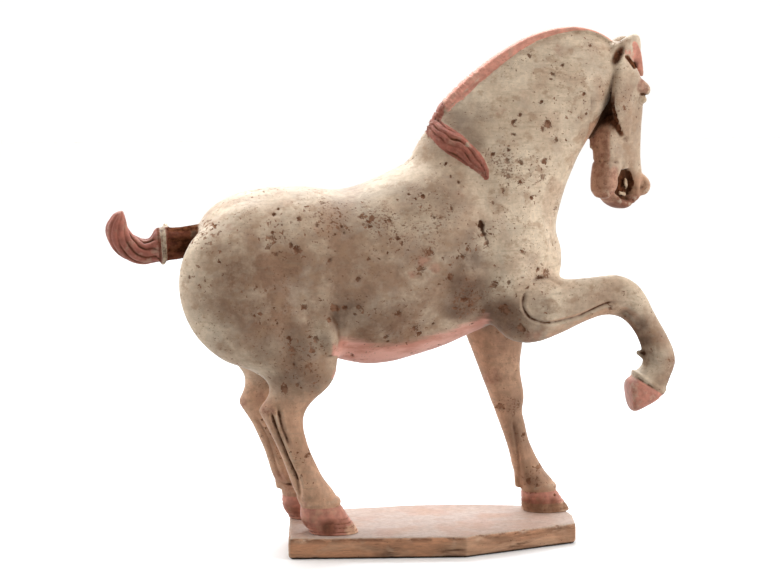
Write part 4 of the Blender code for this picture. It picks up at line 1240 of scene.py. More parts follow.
def ear_front(local):
    """One on the lower front of the right ear, whose pigment runs on into the forelock."""
    seen = beside_head(local)
    here = (local[:, 1] < -2) & (local[:, 0] > -6) & (local[:, 0] < 30)
    edge = 3.2 * lumps(local * [1, 1, 0.3], 2.4, 46)
    slot = np.interp(seen[:, 0], [row[0] for row in FORELOCK_SLOT], [row[1] for row in FORELOCK_SLOT])
    above = step_up(seen[:, 1] - slot, -0.5, 1.0)
    return (0.85 * here * above * step_up(seen[:, 0] + edge, 1.0, 8.5)
            * step_up(-seen[:, 1] + edge, 1.0, 9.0))


def ear_hollow(points):
    """The hollow between each ear and the neck, pressed in and painted dark as shade: a leaning oval, one
    at its middle.
    """
    local = in_head(points)
    seen = beside_head(local)
    here = (local[:, 0] > -24) & (local[:, 0] < 3) & (np.abs(local[:, 1]) > 2) & (np.abs(local[:, 1]) < 18)
    across = seen[:, 0] - 1.0 - 0.36 * (seen[:, 1] + 12.0)
    off = np.hypot(across / np.where(across < 0, 6.4, 4.6), (seen[:, 1] + 12.0) / 10.5)
    streaks = 0.95 + 0.12 * lumps(local * [1, 1, 0.25], 1.8, 62)
    return here * step_up(1.35 - off, 0.0, 0.9) * streaks


def forelock_slot(local):
    """How far each point lies from the slot between the forelock and the temple."""
    off = np.full(len(local), 99.0)
    near = np.where((local[:, 1] < -3) & (local[:, 0] > -6) & (np.abs(local[:, 2] + 20) < 14)
                    & (local[:, 0] < 32))[0]
    off[near] = along_line(beside_head(local[near]), FORELOCK_SLOT)[0]
    return off


def hoof_mask(points):
    """One on the hooves: below the coronet of each standing hoof, and past it on the raised one."""
    x, y, z = points.T
    hoof = np.zeros(len(points))
    for middle, side, coronet in ((-112, -1, 26.5), (-122, 1, 23.5), (118, 1, 20.5)):
        here = (np.abs(x - middle) < 42) & (y * side > 4)
        hoof = np.maximum(hoof, here * step_up(coronet - z + 0.03 * (x - middle), -0.8, 0.8))
    worn = step_up(12 - z, 0.0, 5.0) * (0.75 * (x > 60) + 0.6 * step_up(x, -104, -92) * (x < 0))
    raised = (x > 183) & (z < 160) & (y < 0)
    return np.maximum(hoof * (1 - worn), raised * step_up(-0.53 * x - 0.85 * z, -230.4, -228.8))


BELLY = [
    (-118, 196), (-97, 193), (-70, 187), (-45, 185), (-20, 189), (10, 197), (34, 206), (48, 213),
    (60, 216),
]


def belly_mask(points, normals):
    """One on the pink underside of the barrel, between the legs."""
    x, y, z = points.T
    edge = height_over(x, BELLY) + 1.5 * lumps(points, 12.0, 21)
    under = step_up(-normals[:, 2], -0.05, 0.5) * step_up(z, 150, 158)
    on_leg = step_up(x, 28, 36) * step_up(y, 2, 8) * step_up(192 - z, 0, 6)
    return (under * step_up(edge - z, -9.0, 13.0) * step_up(x, -112, -104) * step_up(58 - x, 0, 16)
            * (1 - on_leg))


def bare_mask(points, normals):
    """Warm bare clay: low on the legs, between them, under the jaw and round the lips."""
    x, y, z = points.T
    local = in_head(points)
    axes = head_axes()
    head = (local[:, 2] < -30) & (local[:, 0] > -42) & (np.abs(local[:, 1]) < 26) & (x > 150) & (z > 305)
    back = -(normals @ axes[0])
    inward = -(normals @ axes[1]) * np.sign(local[:, 1])
    jaw = (head * np.maximum(step_up(back, 0.5, 0.85), step_up(inward, 0.1, 0.5))
           * step_up(2 - local[:, 0], 0.0, 5.0))
    jaw = jaw * step_up(-local[:, 2], 62, 84)
    muzzle = 0.8 * head * step_up(-local[:, 2] + 2.5 * lumps(points, 7.0, 23), 114, 140)
    raised = (x > 105) & (y < 0) & (z < 260)
    legs = np.where(raised, 0.0, step_up(172 - z, 0.0, 60.0) * 0.95)
    inner = np.where(raised | (z > 200), 0.0, step_up(-np.sign(y) * normals[:, 1], 0.1, 0.6)) * 0.5
    far_fore = 0.85 * (x > 20) * (x < 160) * (y > 6) * step_up(215 - z, 0.0, 20.0)
    under = 0.6 * raised * step_up(-normals[:, 2], 0.0, 0.7)
    tint = np.maximum.reduce([jaw, muzzle, legs, inner, far_fore, under])
    return np.clip(tint, 0.0, 1.0)


# Edge of the open mouth as seen from beside; within it the mouth is painted dark as shade.
MOUTH_EDGE = [(-2.2, -150.0), (14.7, -149.4), (18.4, -140.3), (14.2, -127.0), (6.2, -127.4)]


HOOF_DIRT = [
    (-111, 8, 13, 0.6), (-99, 9, 9, 0.45), (-136, 9, 9, 0.5), (-88, 6, 7, 0.35), (104, 7, 10, 0.55),
    (116, 6, 13, 0.5), (130, 5, 13, 0.55), (146, 5, 8, 0.6), (-140, 8, 12, 0.4),
]


def lip_painted_shade(points):
    """Painted shade in brown, under the lower lip and behind the nostrils."""
    local = in_head(points)
    head = (points[:, 0] > 150) & (points[:, 2] > 300) & (np.abs(local[:, 1]) < 22)
    broken = 0.75 + 0.5 * lumps(points, 5.0, 65)
    behind = 0.8 * step_up(-local[:, 2], 146, 154) * (local[:, 0] < 12)
    return 0.42 * head * broken * np.maximum(step_up(-local[:, 2], 155, 162), behind)


def hoof_dirt_and_shade(points):
    """Brown grime low on the standing hooves, darker in their growth lines, where it is partly painted
    shade.
    """
    low = step_up(20 - points[:, 2], 0.0, 7.0)
    return low * np.maximum(soft_rounds(points, HOOF_DIRT, 5.0, 63), 0.9 * growth_rings(points))


def mouth_masks(points):
    """Painted shade inside the mouth, within its edge as seen from beside, and a painted shadow line round
    each eye; the pale teeth and eyeballs.
    """
    local = in_head(points)
    seen = beside_head(local)
    edge = np.array(MOUTH_EDGE)
    span = np.roll(edge, -1, axis=0) - edge
    gap = seen[:, None, :] - edge[None]
    inward = (span[:, 0] * gap[:, :, 1] - span[:, 1] * gap[:, :, 0]) / np.linalg.norm(span, axis=1)
    here = (np.abs(local[:, 1]) < 13.4) & (local[:, 0] > -12.5) & (local[:, 0] < 18) & (points[:, 0] > 150)
    dark = here * step_up(inward.min(axis=1), -0.2, 1.0)
    pale = np.zeros(len(points))
    for rows in (UPPER_TEETH, LOWER_TEETH):
        for x, y, z, high in rows:
            for side in (-1.0, 1.0):
                off = np.linalg.norm((local - [x, side * y, z]) / [2.0, 1.9, high + 0.3], axis=1)
                pale = np.maximum(pale, 0.9 * step_up(1.15 - off, 0.0, 0.45))
    pale = pale * step_up(inward.min(axis=1), -4.5, -2.5)
    eyes = np.zeros(len(points))
    for side in (-1.0, 1.0):
        off = np.linalg.norm((local - [18.5, side * 17.6, -55.8]) / [5.4, 5.8, 4.0], axis=1)
        eyes = np.maximum(eyes, step_up(1.1 - off, 0.0, 0.2))
        # Painted shadow: a dark line round each eyeball.
        dark = np.maximum(dark, 0.42 * step_up(0.28 - np.abs(off - 1.45), 0.0, 0.2))
    # Painted shade on the wall in the middle of the open mouth.
    wall = (np.abs(local[:, 1]) < 7.4) & (local[:, 2] > -160) & (local[:, 2] < -125)
    wall = wall & (np.abs(local[:, 0] + 1) < np.where(local[:, 2] < -149, 7.0, 13.5))
    dark = np.maximum(dark, 0.8 * wall * (points[:, 0] > 150))
    return dark * (1 - pale), pale, eyes


def flesh_mask(points, normals):
    """Red-brown left on the lips, chin, under the jaw and over the eyes, and rubbed patches."""
    local = in_head(points)
    head = (points[:, 0] > 150) & (points[:, 2] > 300) & (local[:, 0] > -44) & (np.abs(local[:, 1]) < 28)
    wander = lumps(points, 8.0, 48)
    lips = (step_up(-local[:, 2] + 5.0 * wander, 112, 140)
            * (0.45 + 0.55 * step_up(-local[:, 2], 150, 156) * step_up(local[:, 0], -16, -10)))
    chin_part = (0.7 * step_up(-local[:, 2] + 5.0 * wander, 110, 130)
                 * step_up(-2 - local[:, 0] + 4.0 * wander, 0.0, 16.0))
    back = -(normals @ head_axes()[0])
    jaw = (0.65 * step_up(back, 0.15, 0.7) * step_up(-local[:, 2], 60, 90)
           * step_up(4 - local[:, 0], 0.0, 6.0))
    from_brow = np.linalg.norm((local - [14, 0, -42]) * [1, 0, 1], axis=1)
    brow_part = 0.75 * step_up(12 - from_brow + 3 * wander, 0.0, 6.0)
    face = head * np.maximum.reduce([lips, chin_part, jaw, brow_part])
    return np.maximum(face, soft_rounds(points, RUBBED, 5.0, 49))


def jaw_painted_shade(points, normals):
    """Painted shade in dark brown, high up between the jowls."""
    local = in_head(points)
    head = (points[:, 0] > 150) & (local[:, 0] > -44) & (local[:, 0] < 2) & (np.abs(local[:, 1]) < 15)
    back = -(normals @ head_axes()[0])
    inward = -(normals @ head_axes()[1]) * np.sign(local[:, 1])
    low = local[:, 2] + 5.0 * lumps(points, 9.0, 60)
    edge = step_up(local[:, 0] + 0.3 * (local[:, 2] + 72), -30, -18) * step_up(low, -104, -88)
    high = np.maximum(0.75 * step_up(low, -94, -66), edge)
    return head * step_up(np.maximum(back, inward), -0.1, 0.4) * high * step_up(-local[:, 2], 44, 58)


RUBBED = [
    (-20, 268, 9, 0.75), (-8, 262, 8, 0.7), (-30, 256, 8, 0.6), (-14, 252, 7, 0.5), (50, 262, 9, 0.4),
    (64, 410, 9, 0.5), (124, 470, 10, 0.5), (112, 462, 9, 0.4), (92, 190, 14, 0.6), (72, 175, 16, 0.5),
    (66, 140, 14, 0.6), (84, 112, 12, 0.5), (-170, 126, 10, 0.6), (-188, 118, 9, 0.7),
    (-150, 44, 12, 0.6), (-140, 30, 12, 0.6), (26, 190, 12, 0.5), (-205, 300, 12, 0.4),
    (-120, 300, 12, 0.4), (-90, 310, 12, 0.35), (20, 335, 10, 0.4), (100, 350, 12, 0.35),
    (178, 245, 9, 0.35), (212, 232, 9, 0.4),
]

# Brown stains in side view, on both sides: x, z, radius and strength; those at the girth and below the
# crest behind the lock are partly painted shade.
STAINS_AND_SHADE = [
    (26, 240, 24, 1.0), (28, 266, 20, 0.9), (34, 292, 15, 0.6), (18, 222, 20, 0.9), (56, 212, 22, 0.95),
    (78, 205, 18, 0.7), (-98, 218, 18, 0.9), (-103, 222, 8, 1.0), (-92, 221, 8, 1.0),
    (-140, 188, 26, 0.7), (-166, 186, 22, 0.5), (-190, 232, 34, 0.35), (-60, 212, 30, 0.4),
    (96, 207, 14, 0.5), (-136, 150, 26, 0.5), (34, 232, 24, 0.75), (-150, 150, 24, 0.5),
    (199, 197, 12, 1.0), (206, 182, 11, 1.0), (187, 208, 10, 0.9), (208, 168, 10, 0.8),
    (98, 222, 15, 0.55), (92, 85, 24, 0.4), (190, 483, 9, 0.5), (-96, 214, 13, 0.9), (-190, 262, 26, 0.3),
    (-75, 318, 26, 0.4), (-30, 328, 22, 0.4), (-118, 190, 14, 0.4), (107, 34, 12, 0.7), (125, 38, 8, 0.5),
    (42, 300, 10, 0.35), (4, 330, 26, 0.4), (18, 414, 20, 0.6), (28, 398, 16, 0.65), (34, 380, 16, 0.6),
    (40, 404, 18, 0.4), (202, 484, 13, 0.4), (234, 142, 12, 0.4), (92, 112, 12, 0.5), (86, 182, 20, 0.3),
    (200, 430, 16, 0.25), (150, 400, 22, 0.2),
]

# Broad brown patina in side view, on both sides: x, z, radius and strength; it is partly painted shade, as
# at the girth.
BROWN_FILM_AND_SHADE = [
    (-165, 250, 80, 0.95), (-95, 262, 84, 0.80), (-20, 250, 60, 0.80), (24, 236, 30, 1.0),
    (58, 210, 30, 0.85), (-50, 182, 70, 0.90), (-140, 165, 44, 0.80), (4, 385, 34, 0.45),
    (14, 335, 40, 0.45), (198, 410, 44, 0.55), (190, 350, 40, 0.55), (150, 215, 36, 0.45),
    (92, 196, 22, 0.70), (214, 190, 24, 0.85), (236, 158, 20, 0.85), (228, 144, 18, 0.8),
    (214, 196, 26, 0.6), (-150, 100, 50, 0.45), (-118, 40, 40, 0.50), (90, 110, 60, 0.45),
    (112, 40, 36, 0.55),
]


def soft_rounds(points, table, size, seed):
    """Broad soft rounds in side view, on both sides: (x, z, radius, strength), their edges wandering."""
    strength = np.zeros(len(points))
    wander = 1.0 + 0.35 * lumps(points, size, seed)
    for x, z, radius, most in table:
        off = np.hypot(points[:, 0] - x, points[:, 2] - z) / (radius * wander)
        strength = np.maximum(strength, most * step_up(1.3 - off, 0.0, 1.0))
    return strength


def keep_mask(mesh, name, columns):
    """Keeps up to four masks as one colour attribute on the points."""
    values = np.zeros((len(mesh.vertices), 4))
    for k, column in enumerate(columns):
        values[:, k] = column
    mesh.attributes.new(name, "FLOAT_COLOR", "POINT").data.foreach_set("color", values.ravel())


def keep_masks(mesh):
    """All the masks that the figure's finish reads."""
    points = points_of(mesh)
    normals = normals_of(mesh)
    pink, hair, ring, root = hair_masks(points)
    dark, pale, eyes = mouth_masks(points)
    # The slot under the forelock is painted dark as shade, and kept clear of the pink.
    slot = step_up(2.6 - forelock_slot(in_head(points)), 0.0, 1.2)
    hole = shoulder_hole(points, normals)
    # The dark mask: painted shade inside the mouth and round the eyes, in the hollows behind the ears, the
    # slot under the forelock, the shoulder hole, high between the jowls, under the lower lip and behind the
    # nostrils, and in the strand grooves of lock and tail; partly painted shade and partly earth in the cut
    # lines and growth lines, and partly pigment at the tail's root; the rest is grime on the hooves and a
    # darker tone on the lock and on the pink past the poll.
    dark = np.maximum.reduce([dark, 0.85 * root, 0.95 * ear_hollow(points), 0.9 * slot, 0.8 * hole,
                              0.9 * jaw_painted_shade(points, normals), line_soil_and_shade(points, normals),
                              hoof_dirt_and_shade(points), 0.62 * lock_strands(points), 0.5 * tail_strands(points),
                              lip_painted_shade(points), 0.27 * hair * (np.abs(points[:, 0] - 22) < 30),
                              0.30 * pink * (points[:, 0] > 188)])
    pink = pink * (1 - slot)
    # How hollow the skin is, close by and broadly: the finish darkens the hollows with it as painted shade
    # and earth, and lightens the ridges as wear.
    tight = hollowness(mesh, 3)
    wide = hollowness(mesh, 14)
    off = along_line(points[:, ::2], CREST_INNER)[0]
    plain = (1 - 0.85 * step_up(8 - off, 0.0, 3.0) * (np.abs(points[:, 1]) < 26)
             * step_up(points[:, 0], 6, 16))
    tight, wide = tight * plain, wide * plain
    keep_mask(mesh, "paint", (pink, hair, hoof_mask(points), belly_mask(points, normals)))
    keep_mask(mesh, "ground", (
        step_up(tight, 0.08, 0.45),
        step_up(-tight, 0.06, 0.34),
        losses(points, normals),
        bare_mask(points, normals),
    ))
    stain_and_shade = soft_rounds(points, STAINS_AND_SHADE, 12.0, 31)
    film_and_shade = soft_rounds(points, BROWN_FILM_AND_SHADE, 26.0, 33)
    keep_mask(mesh, "detail", (dark, np.maximum(pale, 0.8 * eyes), ring, stain_and_shade))
    keep_mask(mesh, "hollows",
              (step_up(wide, 0.03, 0.18), film_and_shade, gathering(points), flesh_mask(points, normals)))


def model_horse(sizes):
    """The whole figure in the grid: soft forms fused and smoothed, crisp forms fused on, relief
    pressed in, soles levelled, and then put on the plinth in metres."""
    soft = [trunk(), neck(), near_hind(), far_hind(), far_fore(), near_fore()] + muscles() + flank_folds()
    body = fuse(mesh_object("body", soft), sizes.soft_skin)
    fill_creases(body, 28, 0.12)
    head = [skull(), upper_lip(), mouth_corner(), lower_jaw(), chin(), lower_lip()] + both_sides(cheek)
    head += brow(-1.0) + brow(1.0) + both_sides(eye) + both_sides(lower_lid)
    head += both_sides(nostril) + both_sides(ear) + [forelock()] + mouth_inside()
    head += teeth(-1.0) + teeth(1.0)
    crisp = [on_head(shell) for shell in head]
    crisp += [mane_band(), mane_lock(skin_tree(body)), tail(), tail_ring()] + hooves() + fetlock_tufts()
    skin = (points_of(body.data), [list(p.vertices) for p in body.data.polygons])
    figure = fuse(mesh_object("pottery_horse", [skin] + crisp), sizes.fine_skin)
    bpy.data.objects.remove(body)
    fill_creases(figure, 5, 0.2)
    press(figure, sizes)
    thin_out(figure, sizes.triangles)
    level_soles(figure)
    lift = np.array([0.0, 0.0, SOLE_LEVEL])
    low, high = (np.array(corner) - lift for corner in CAD_BOX)
    put_points(figure.data, np.clip(points_of(figure.data), low / PART, high / PART))
    keep_masks(figure.data)
    figure.data.transform(Matrix.Translation(lift) @ Matrix.Scale(PART, 4))
    figure.data.shade_smooth()
    return figure


# The plinth

PLINTH_CORNERS = [
    (-152.3, -62.2), (21, -81.1), (141, -37), (148, 8), (142, 46), (100, 58), (63, 67), (-10, 76),
    (-137, 61),
]
HOOF_PLACES = [(-106, -38, 27), (-116, 37, 27), (125, 33, 27)]


def slab_shell():
    """The slab as rings of its outline, from the underside's middle to the top's."""
    outline = np.array(PLINTH_CORNERS + PLINTH_CORNERS[:1], dtype=float)
    share = np.linspace(0.0, 1.0, 14, endpoint=False)[None, :, None]
    side = (outline[:-1, None] * (1 - share) + outline[1:, None] * share).reshape(-1, 2)
    thick = PLINTH_TOP / PART
    levels = [(0.02, 0.0), (0.5, 0.0), (0.972, 0.0), (0.988, 0.9), (1.0, 2.8), (1.0, thick / 2),
              (1.0, thick - 1.2), (0.985, thick), (0.5, thick), (0.02, thick)]
    rings = [np.column_stack([side * scale, np.full(len(side), height)]) for scale, height in levels]
    return skin_rings(np.array(rings))


def slab_relief(points, normals, sizes):
    """How far each point sinks: level cut marks on the sides, worn and chipped edges, and broad
    hollows on top, with the clay drawn up a little round the hooves."""
    thick = PLINTH_TOP / PART
    off = along_line(points[:, :2], PLINTH_CORNERS + PLINTH_CORNERS[:1])[0]
    upright = 1.0 - np.abs(normals[:, 2])
    stretched = points * [0.16, 0.16, 1.0]
    strata = 0.5 + 0.35 * lumps(stretched, 2.2, 51) + 0.25 * lumps(stretched, 4.6, 52)
    sink = sizes.strata * np.clip(strata, 0.0, 1.2) * step_up(upright, 0.3, 0.9)
    top = step_up(points[:, 2], thick - 5.0, thick)
    foot = step_up(5.0 - points[:, 2], 0.0, 5.0)
    chips = step_up(lumps(points, 9.0, 53) + 0.5 * lumps(points, 4.0, 54), 0.25, 1.0)
    rim = step_up(3.5 - off, 0.0, 3.5)
    sink += sizes.wear * rim * (0.25 + chips) * np.maximum(top, 0.8 * foot)
    hollows = (0.35 + 0.3 * lumps(points, 38.0, 55) + 0.12 * lumps(points, 9.0, 56)
               + 0.06 * lumps(points, 3.0, 57))
    bed = np.zeros(len(points))
    for x, y, radius in HOOF_PLACES:
        bed = np.maximum(bed, step_up(radius + 6 - np.hypot(points[:, 0] - x, points[:, 1] - y), 0.0, 12.0))
    sink += 0.9 * np.clip(hollows, 0.0, 1.0) * (1 - bed) * step_up(normals[:, 2], 0.3, 0.9)
    level = step_up(-normals[:, 2], 0.5, 0.9) * step_up(off, 3.0, 6.0)
    return np.clip(sink, 0.0, 4.0) * (1 - level), chips * rim


def model_plinth(sizes):
    """The slab in metres, skinned finely and worn."""
    slab = fuse(mesh_object("pottery_plinth", [slab_shell()]), sizes.skin)
    points = points_of(slab.data)
    sink, _ = slab_relief(points, normals_of(slab.data), sizes)
    points = points - normals_of(slab.data) * sink[:, None]
    points[:, 2] = np.clip(points[:, 2], 0.0, PLINTH_TOP / PART)
    put_points(slab.data, points)
    thin_out(slab, sizes.triangles)
    points = points_of(slab.data)
    normals = normals_of(slab.data)
    _, chips = slab_relief(points, normals, sizes)
    # How hollow the slab is: the finish darkens its creases with it as painted shade.
    tight = hollowness(slab.data, 2)
    top = step_up(normals[:, 2], 0.35, 0.85)
    keep_mask(slab.data, "ground", (step_up(tight, 0.08, 0.5), step_up(-tight, 0.08, 0.45), chips, top))
    slab.data.transform(Matrix.Scale(PART, 4))
    slab.data.shade_smooth()
    return slab


# Finishes: nodes


def node(tree, kind, inputs=None, **settings):
    """Adds a node, sets its properties, and gives its inputs their values or links."""
    made = tree.nodes.new(kind)
    for name, value in settings.items():
        setattr(made, name, value)
    for key, value in (inputs or {}).items():
        if isinstance(value, bpy.types.NodeSocket):
            tree.links.new(value, made.inputs[key])
        else:
            made.inputs[key].default_value = value
    return made


def maths(tree, first, second, clamp=False, operation="MULTIPLY"):
    """The result of one sum."""
    inputs = {0: first, 1: second}
    return node(tree, "ShaderNodeMath", inputs, operation=operation, use_clamp=clamp).outputs[0]


times = partial(maths, operation="MULTIPLY")
plus = partial(maths, operation="ADD")
less = partial(maths, operation="SUBTRACT")
larger = partial(maths, operation="MAXIMUM")


def rest(tree, value, clamp=False):
    """What is left of one."""
    return less(tree, 1.0, value, clamp)


def blend(tree, share, under, over, blend_type="MIX"):
    """One colour over another by a share."""
    inputs = {0: share, 6: under, 7: over}
    return node(tree, "ShaderNodeMix", inputs, data_type="RGBA", blend_type=blend_type).outputs[2]


def eased(tree, value, low, high, to_low=0.0, to_high=1.0):
    """A value's eased rise between two levels."""
    inputs = {"Value": value, "From Min": low, "From Max": high, "To Min": to_low, "To Max": to_high}
    return node(tree, "ShaderNodeMapRange", inputs, interpolation_type="SMOOTHSTEP").outputs["Result"]


def cloud(tree, place, size, detail=4.0, roughness=0.55, distortion=0.0):
    """Cloudy noise whose lumps are of the given size, in metres."""
    inputs = {"Vector": place, "Scale": 1.0 / size, "Detail": detail, "Roughness": roughness,
              "Distortion": distortion}
    return node(tree, "ShaderNodeTexNoise", inputs).outputs[0]


def grey(tree, value):
    """A value as a grey, to multiply a colour by."""
    return node(tree, "ShaderNodeCombineColor", {0: value, 1: value, 2: value}).outputs[0]


def patches(tree, place, noise, levels, reach=(0.0, 1.0)):
    """Cloudy patches: noise of a size, detail and roughness, eased between two of its levels."""
    return eased(tree, cloud(tree, place, *noise), *levels, *reach)


def stretched(tree, place, scale, turn=(0.0, 0.0, 0.0)):
    """The place with its axes scaled, so that a pattern is drawn out."""
    return node(tree, "ShaderNodeMapping", {"Vector": place, "Scale": scale, "Rotation": turn}).outputs[0]


def new_group(name, inputs, outputs):
    """An empty node group with its sockets, and its two ends."""
    tree = bpy.data.node_groups.new(name, "ShaderNodeTree")
    kinds = {"colour": "NodeSocketColor", "value": "NodeSocketFloat", "vector": "NodeSocketVector"}
    for label, kind, default in inputs:
        socket = tree.interface.new_socket(name=label, in_out="INPUT", socket_type=kinds[kind])
        if default is not None:
            socket.default_value = default
    for label, kind in outputs:
        tree.interface.new_socket(name=label, in_out="OUTPUT", socket_type=kinds[kind])
    return tree, tree.nodes.new("NodeGroupInput").outputs, tree.nodes.new("NodeGroupOutput")


def clay_mottle_group():
    """Slip or clay that shifts between three colours in broad and fine clouds, with a grain."""
    inputs = [("Place", "vector", None), ("Light", "colour", (0.6, 0.5, 0.36, 1)),
              ("Dark", "colour", (0.4, 0.3, 0.2, 1)), ("Tint", "colour", (0.5, 0.3, 0.2, 1)),
              ("Tinting", "value", 0.3), ("Darkening", "value", 0.5)]
    tree, given, end = new_group("Clay mottle", inputs, [("Colour", "colour"), ("Grain", "value")])
    place = given["Place"]
    broad = cloud(tree, place, 0.075, 3.0)
    middle = cloud(tree, place, 0.017, 5.0, 0.6)
    fine = cloud(tree, place, 0.0046, 5.0, 0.6)
    depth = plus(tree, times(tree, broad, 0.55), times(tree, middle, 0.45))
    dark = times(tree, eased(tree, depth, 0.40, 0.62), given["Darkening"])
    result = blend(tree, dark, given["Light"], given["Dark"])
    patch = eased(tree, cloud(tree, place, 0.034, 4.0, 0.5, 0.6), 0.50, 0.66)
    result = blend(tree, times(tree, patch, given["Tinting"]), result, given["Tint"])
    finest = cloud(tree, place, 0.0016, 4.0, 0.65)
    grain = plus(tree, times(tree, fine, 0.7), times(tree, finest, 0.3))
    grain = eased(tree, grain, 0.38, 0.62, 0.90, 1.08)
    tone = grey(tree, grain)
    result = blend(tree, 1.0, result, tone, "MULTIPLY")
    tree.links.new(result, end.inputs["Colour"])
    tree.links.new(plus(tree, times(tree, middle, 0.4), fine), end.inputs["Grain"])
    return tree


def speckle_group():
    """Specks of lost skin: small noise cut at a level that drops where a broader cloud gathers."""
    inputs = [("Place", "vector", None), ("Size", "value", 0.004), ("Level", "value", 0.66),
              ("Gathering", "value", 0.12), ("Near", "value", 0.0)]
    tree, given, end = new_group("Lost specks", inputs, [("Specks", "value")])
    scale = maths(tree, 1.0, given["Size"], operation="DIVIDE")
    noise = {"Vector": given["Place"], "Scale": scale, "Detail": 2.5, "Roughness": 0.55}
    small = node(tree, "ShaderNodeTexNoise", noise).outputs[0]
    gathered = patches(tree, given["Place"], (0.042, 2.0, 0.55), (0.42, 0.66))
    gathered = plus(tree, gathered, given["Near"])
    level = less(tree, given["Level"], times(tree, gathered, given["Gathering"]))
    over = times(tree, less(tree, small, level), 22.0, clamp=True)
    tree.links.new(over, end.inputs["Specks"])
    return tree


def worn_paint_group():
    """Pigment over a skin: its mask breaks up at its edge, and it is rubbed through in patches."""
    inputs = [("Place", "vector", None), ("Skin", "colour", (0.6, 0.5, 0.36, 1)),
              ("Paint", "colour", (0.6, 0.2, 0.1, 1)), ("Mask", "value", 0.0),
              ("Rubbed", "value", 0.35), ("Edge", "value", 0.3)]
    tree, given, end = new_group("Worn paint", inputs, [("Colour", "colour")])
    place = given["Place"]
    break_up = less(tree, cloud(tree, place, 0.0045, 4.0, 0.6), 0.5)
    mask = plus(tree, given["Mask"], times(tree, break_up, given["Edge"]))
    cover = eased(tree, mask, 0.35, 0.62)
    rub = patches(tree, place, (0.0105, 5.0, 0.62), (0.50, 0.68))
    cover = times(tree, cover, rest(tree, times(tree, rub, given["Rubbed"])))
    shade = patches(tree, place, (0.007, 4.0, 0.6), (0.3, 0.72), (0.78, 1.18))
    tone = grey(tree, shade)
    paint = blend(tree, 1.0, given["Paint"], tone, "MULTIPLY")
    tree.links.new(blend(tree, cover, given["Skin"], paint), end.inputs["Colour"])
    return tree


def use_group(tree, name, make, inputs):
    """Places a shared group, made the first time it is asked for, with its values."""
    return node(tree, "ShaderNodeGroup", inputs, node_tree=bpy.data.node_groups.get(name) or make()).outputs


def tone_of(tree, grain):
    """A grey that swings about white with the grain, to multiply a flat colour by."""
    shade = eased(tree, grain, 0.45, 0.95, 0.84, 1.14)
    return grey(tree, shade)


def opaque(colour_value):
    """A colour with full cover."""
    return (*tuple(colour_value), 1.0)


def masks(tree, name):
    """The four masks kept in one attribute."""
    read = node(tree, "ShaderNodeAttribute", attribute_name=name)
    parts = node(tree, "ShaderNodeSeparateColor", {0: read.outputs["Color"]}).outputs
    return parts[0], parts[1], parts[2], read.outputs["Alpha"]


def new_finish(name):
    """A material that uses nodes, with its tree and its shader."""
    material = bpy.data.materials.new(name)
    material.use_nodes = True
    return material, material.node_tree, material.node_tree.nodes["Principled BSDF"]


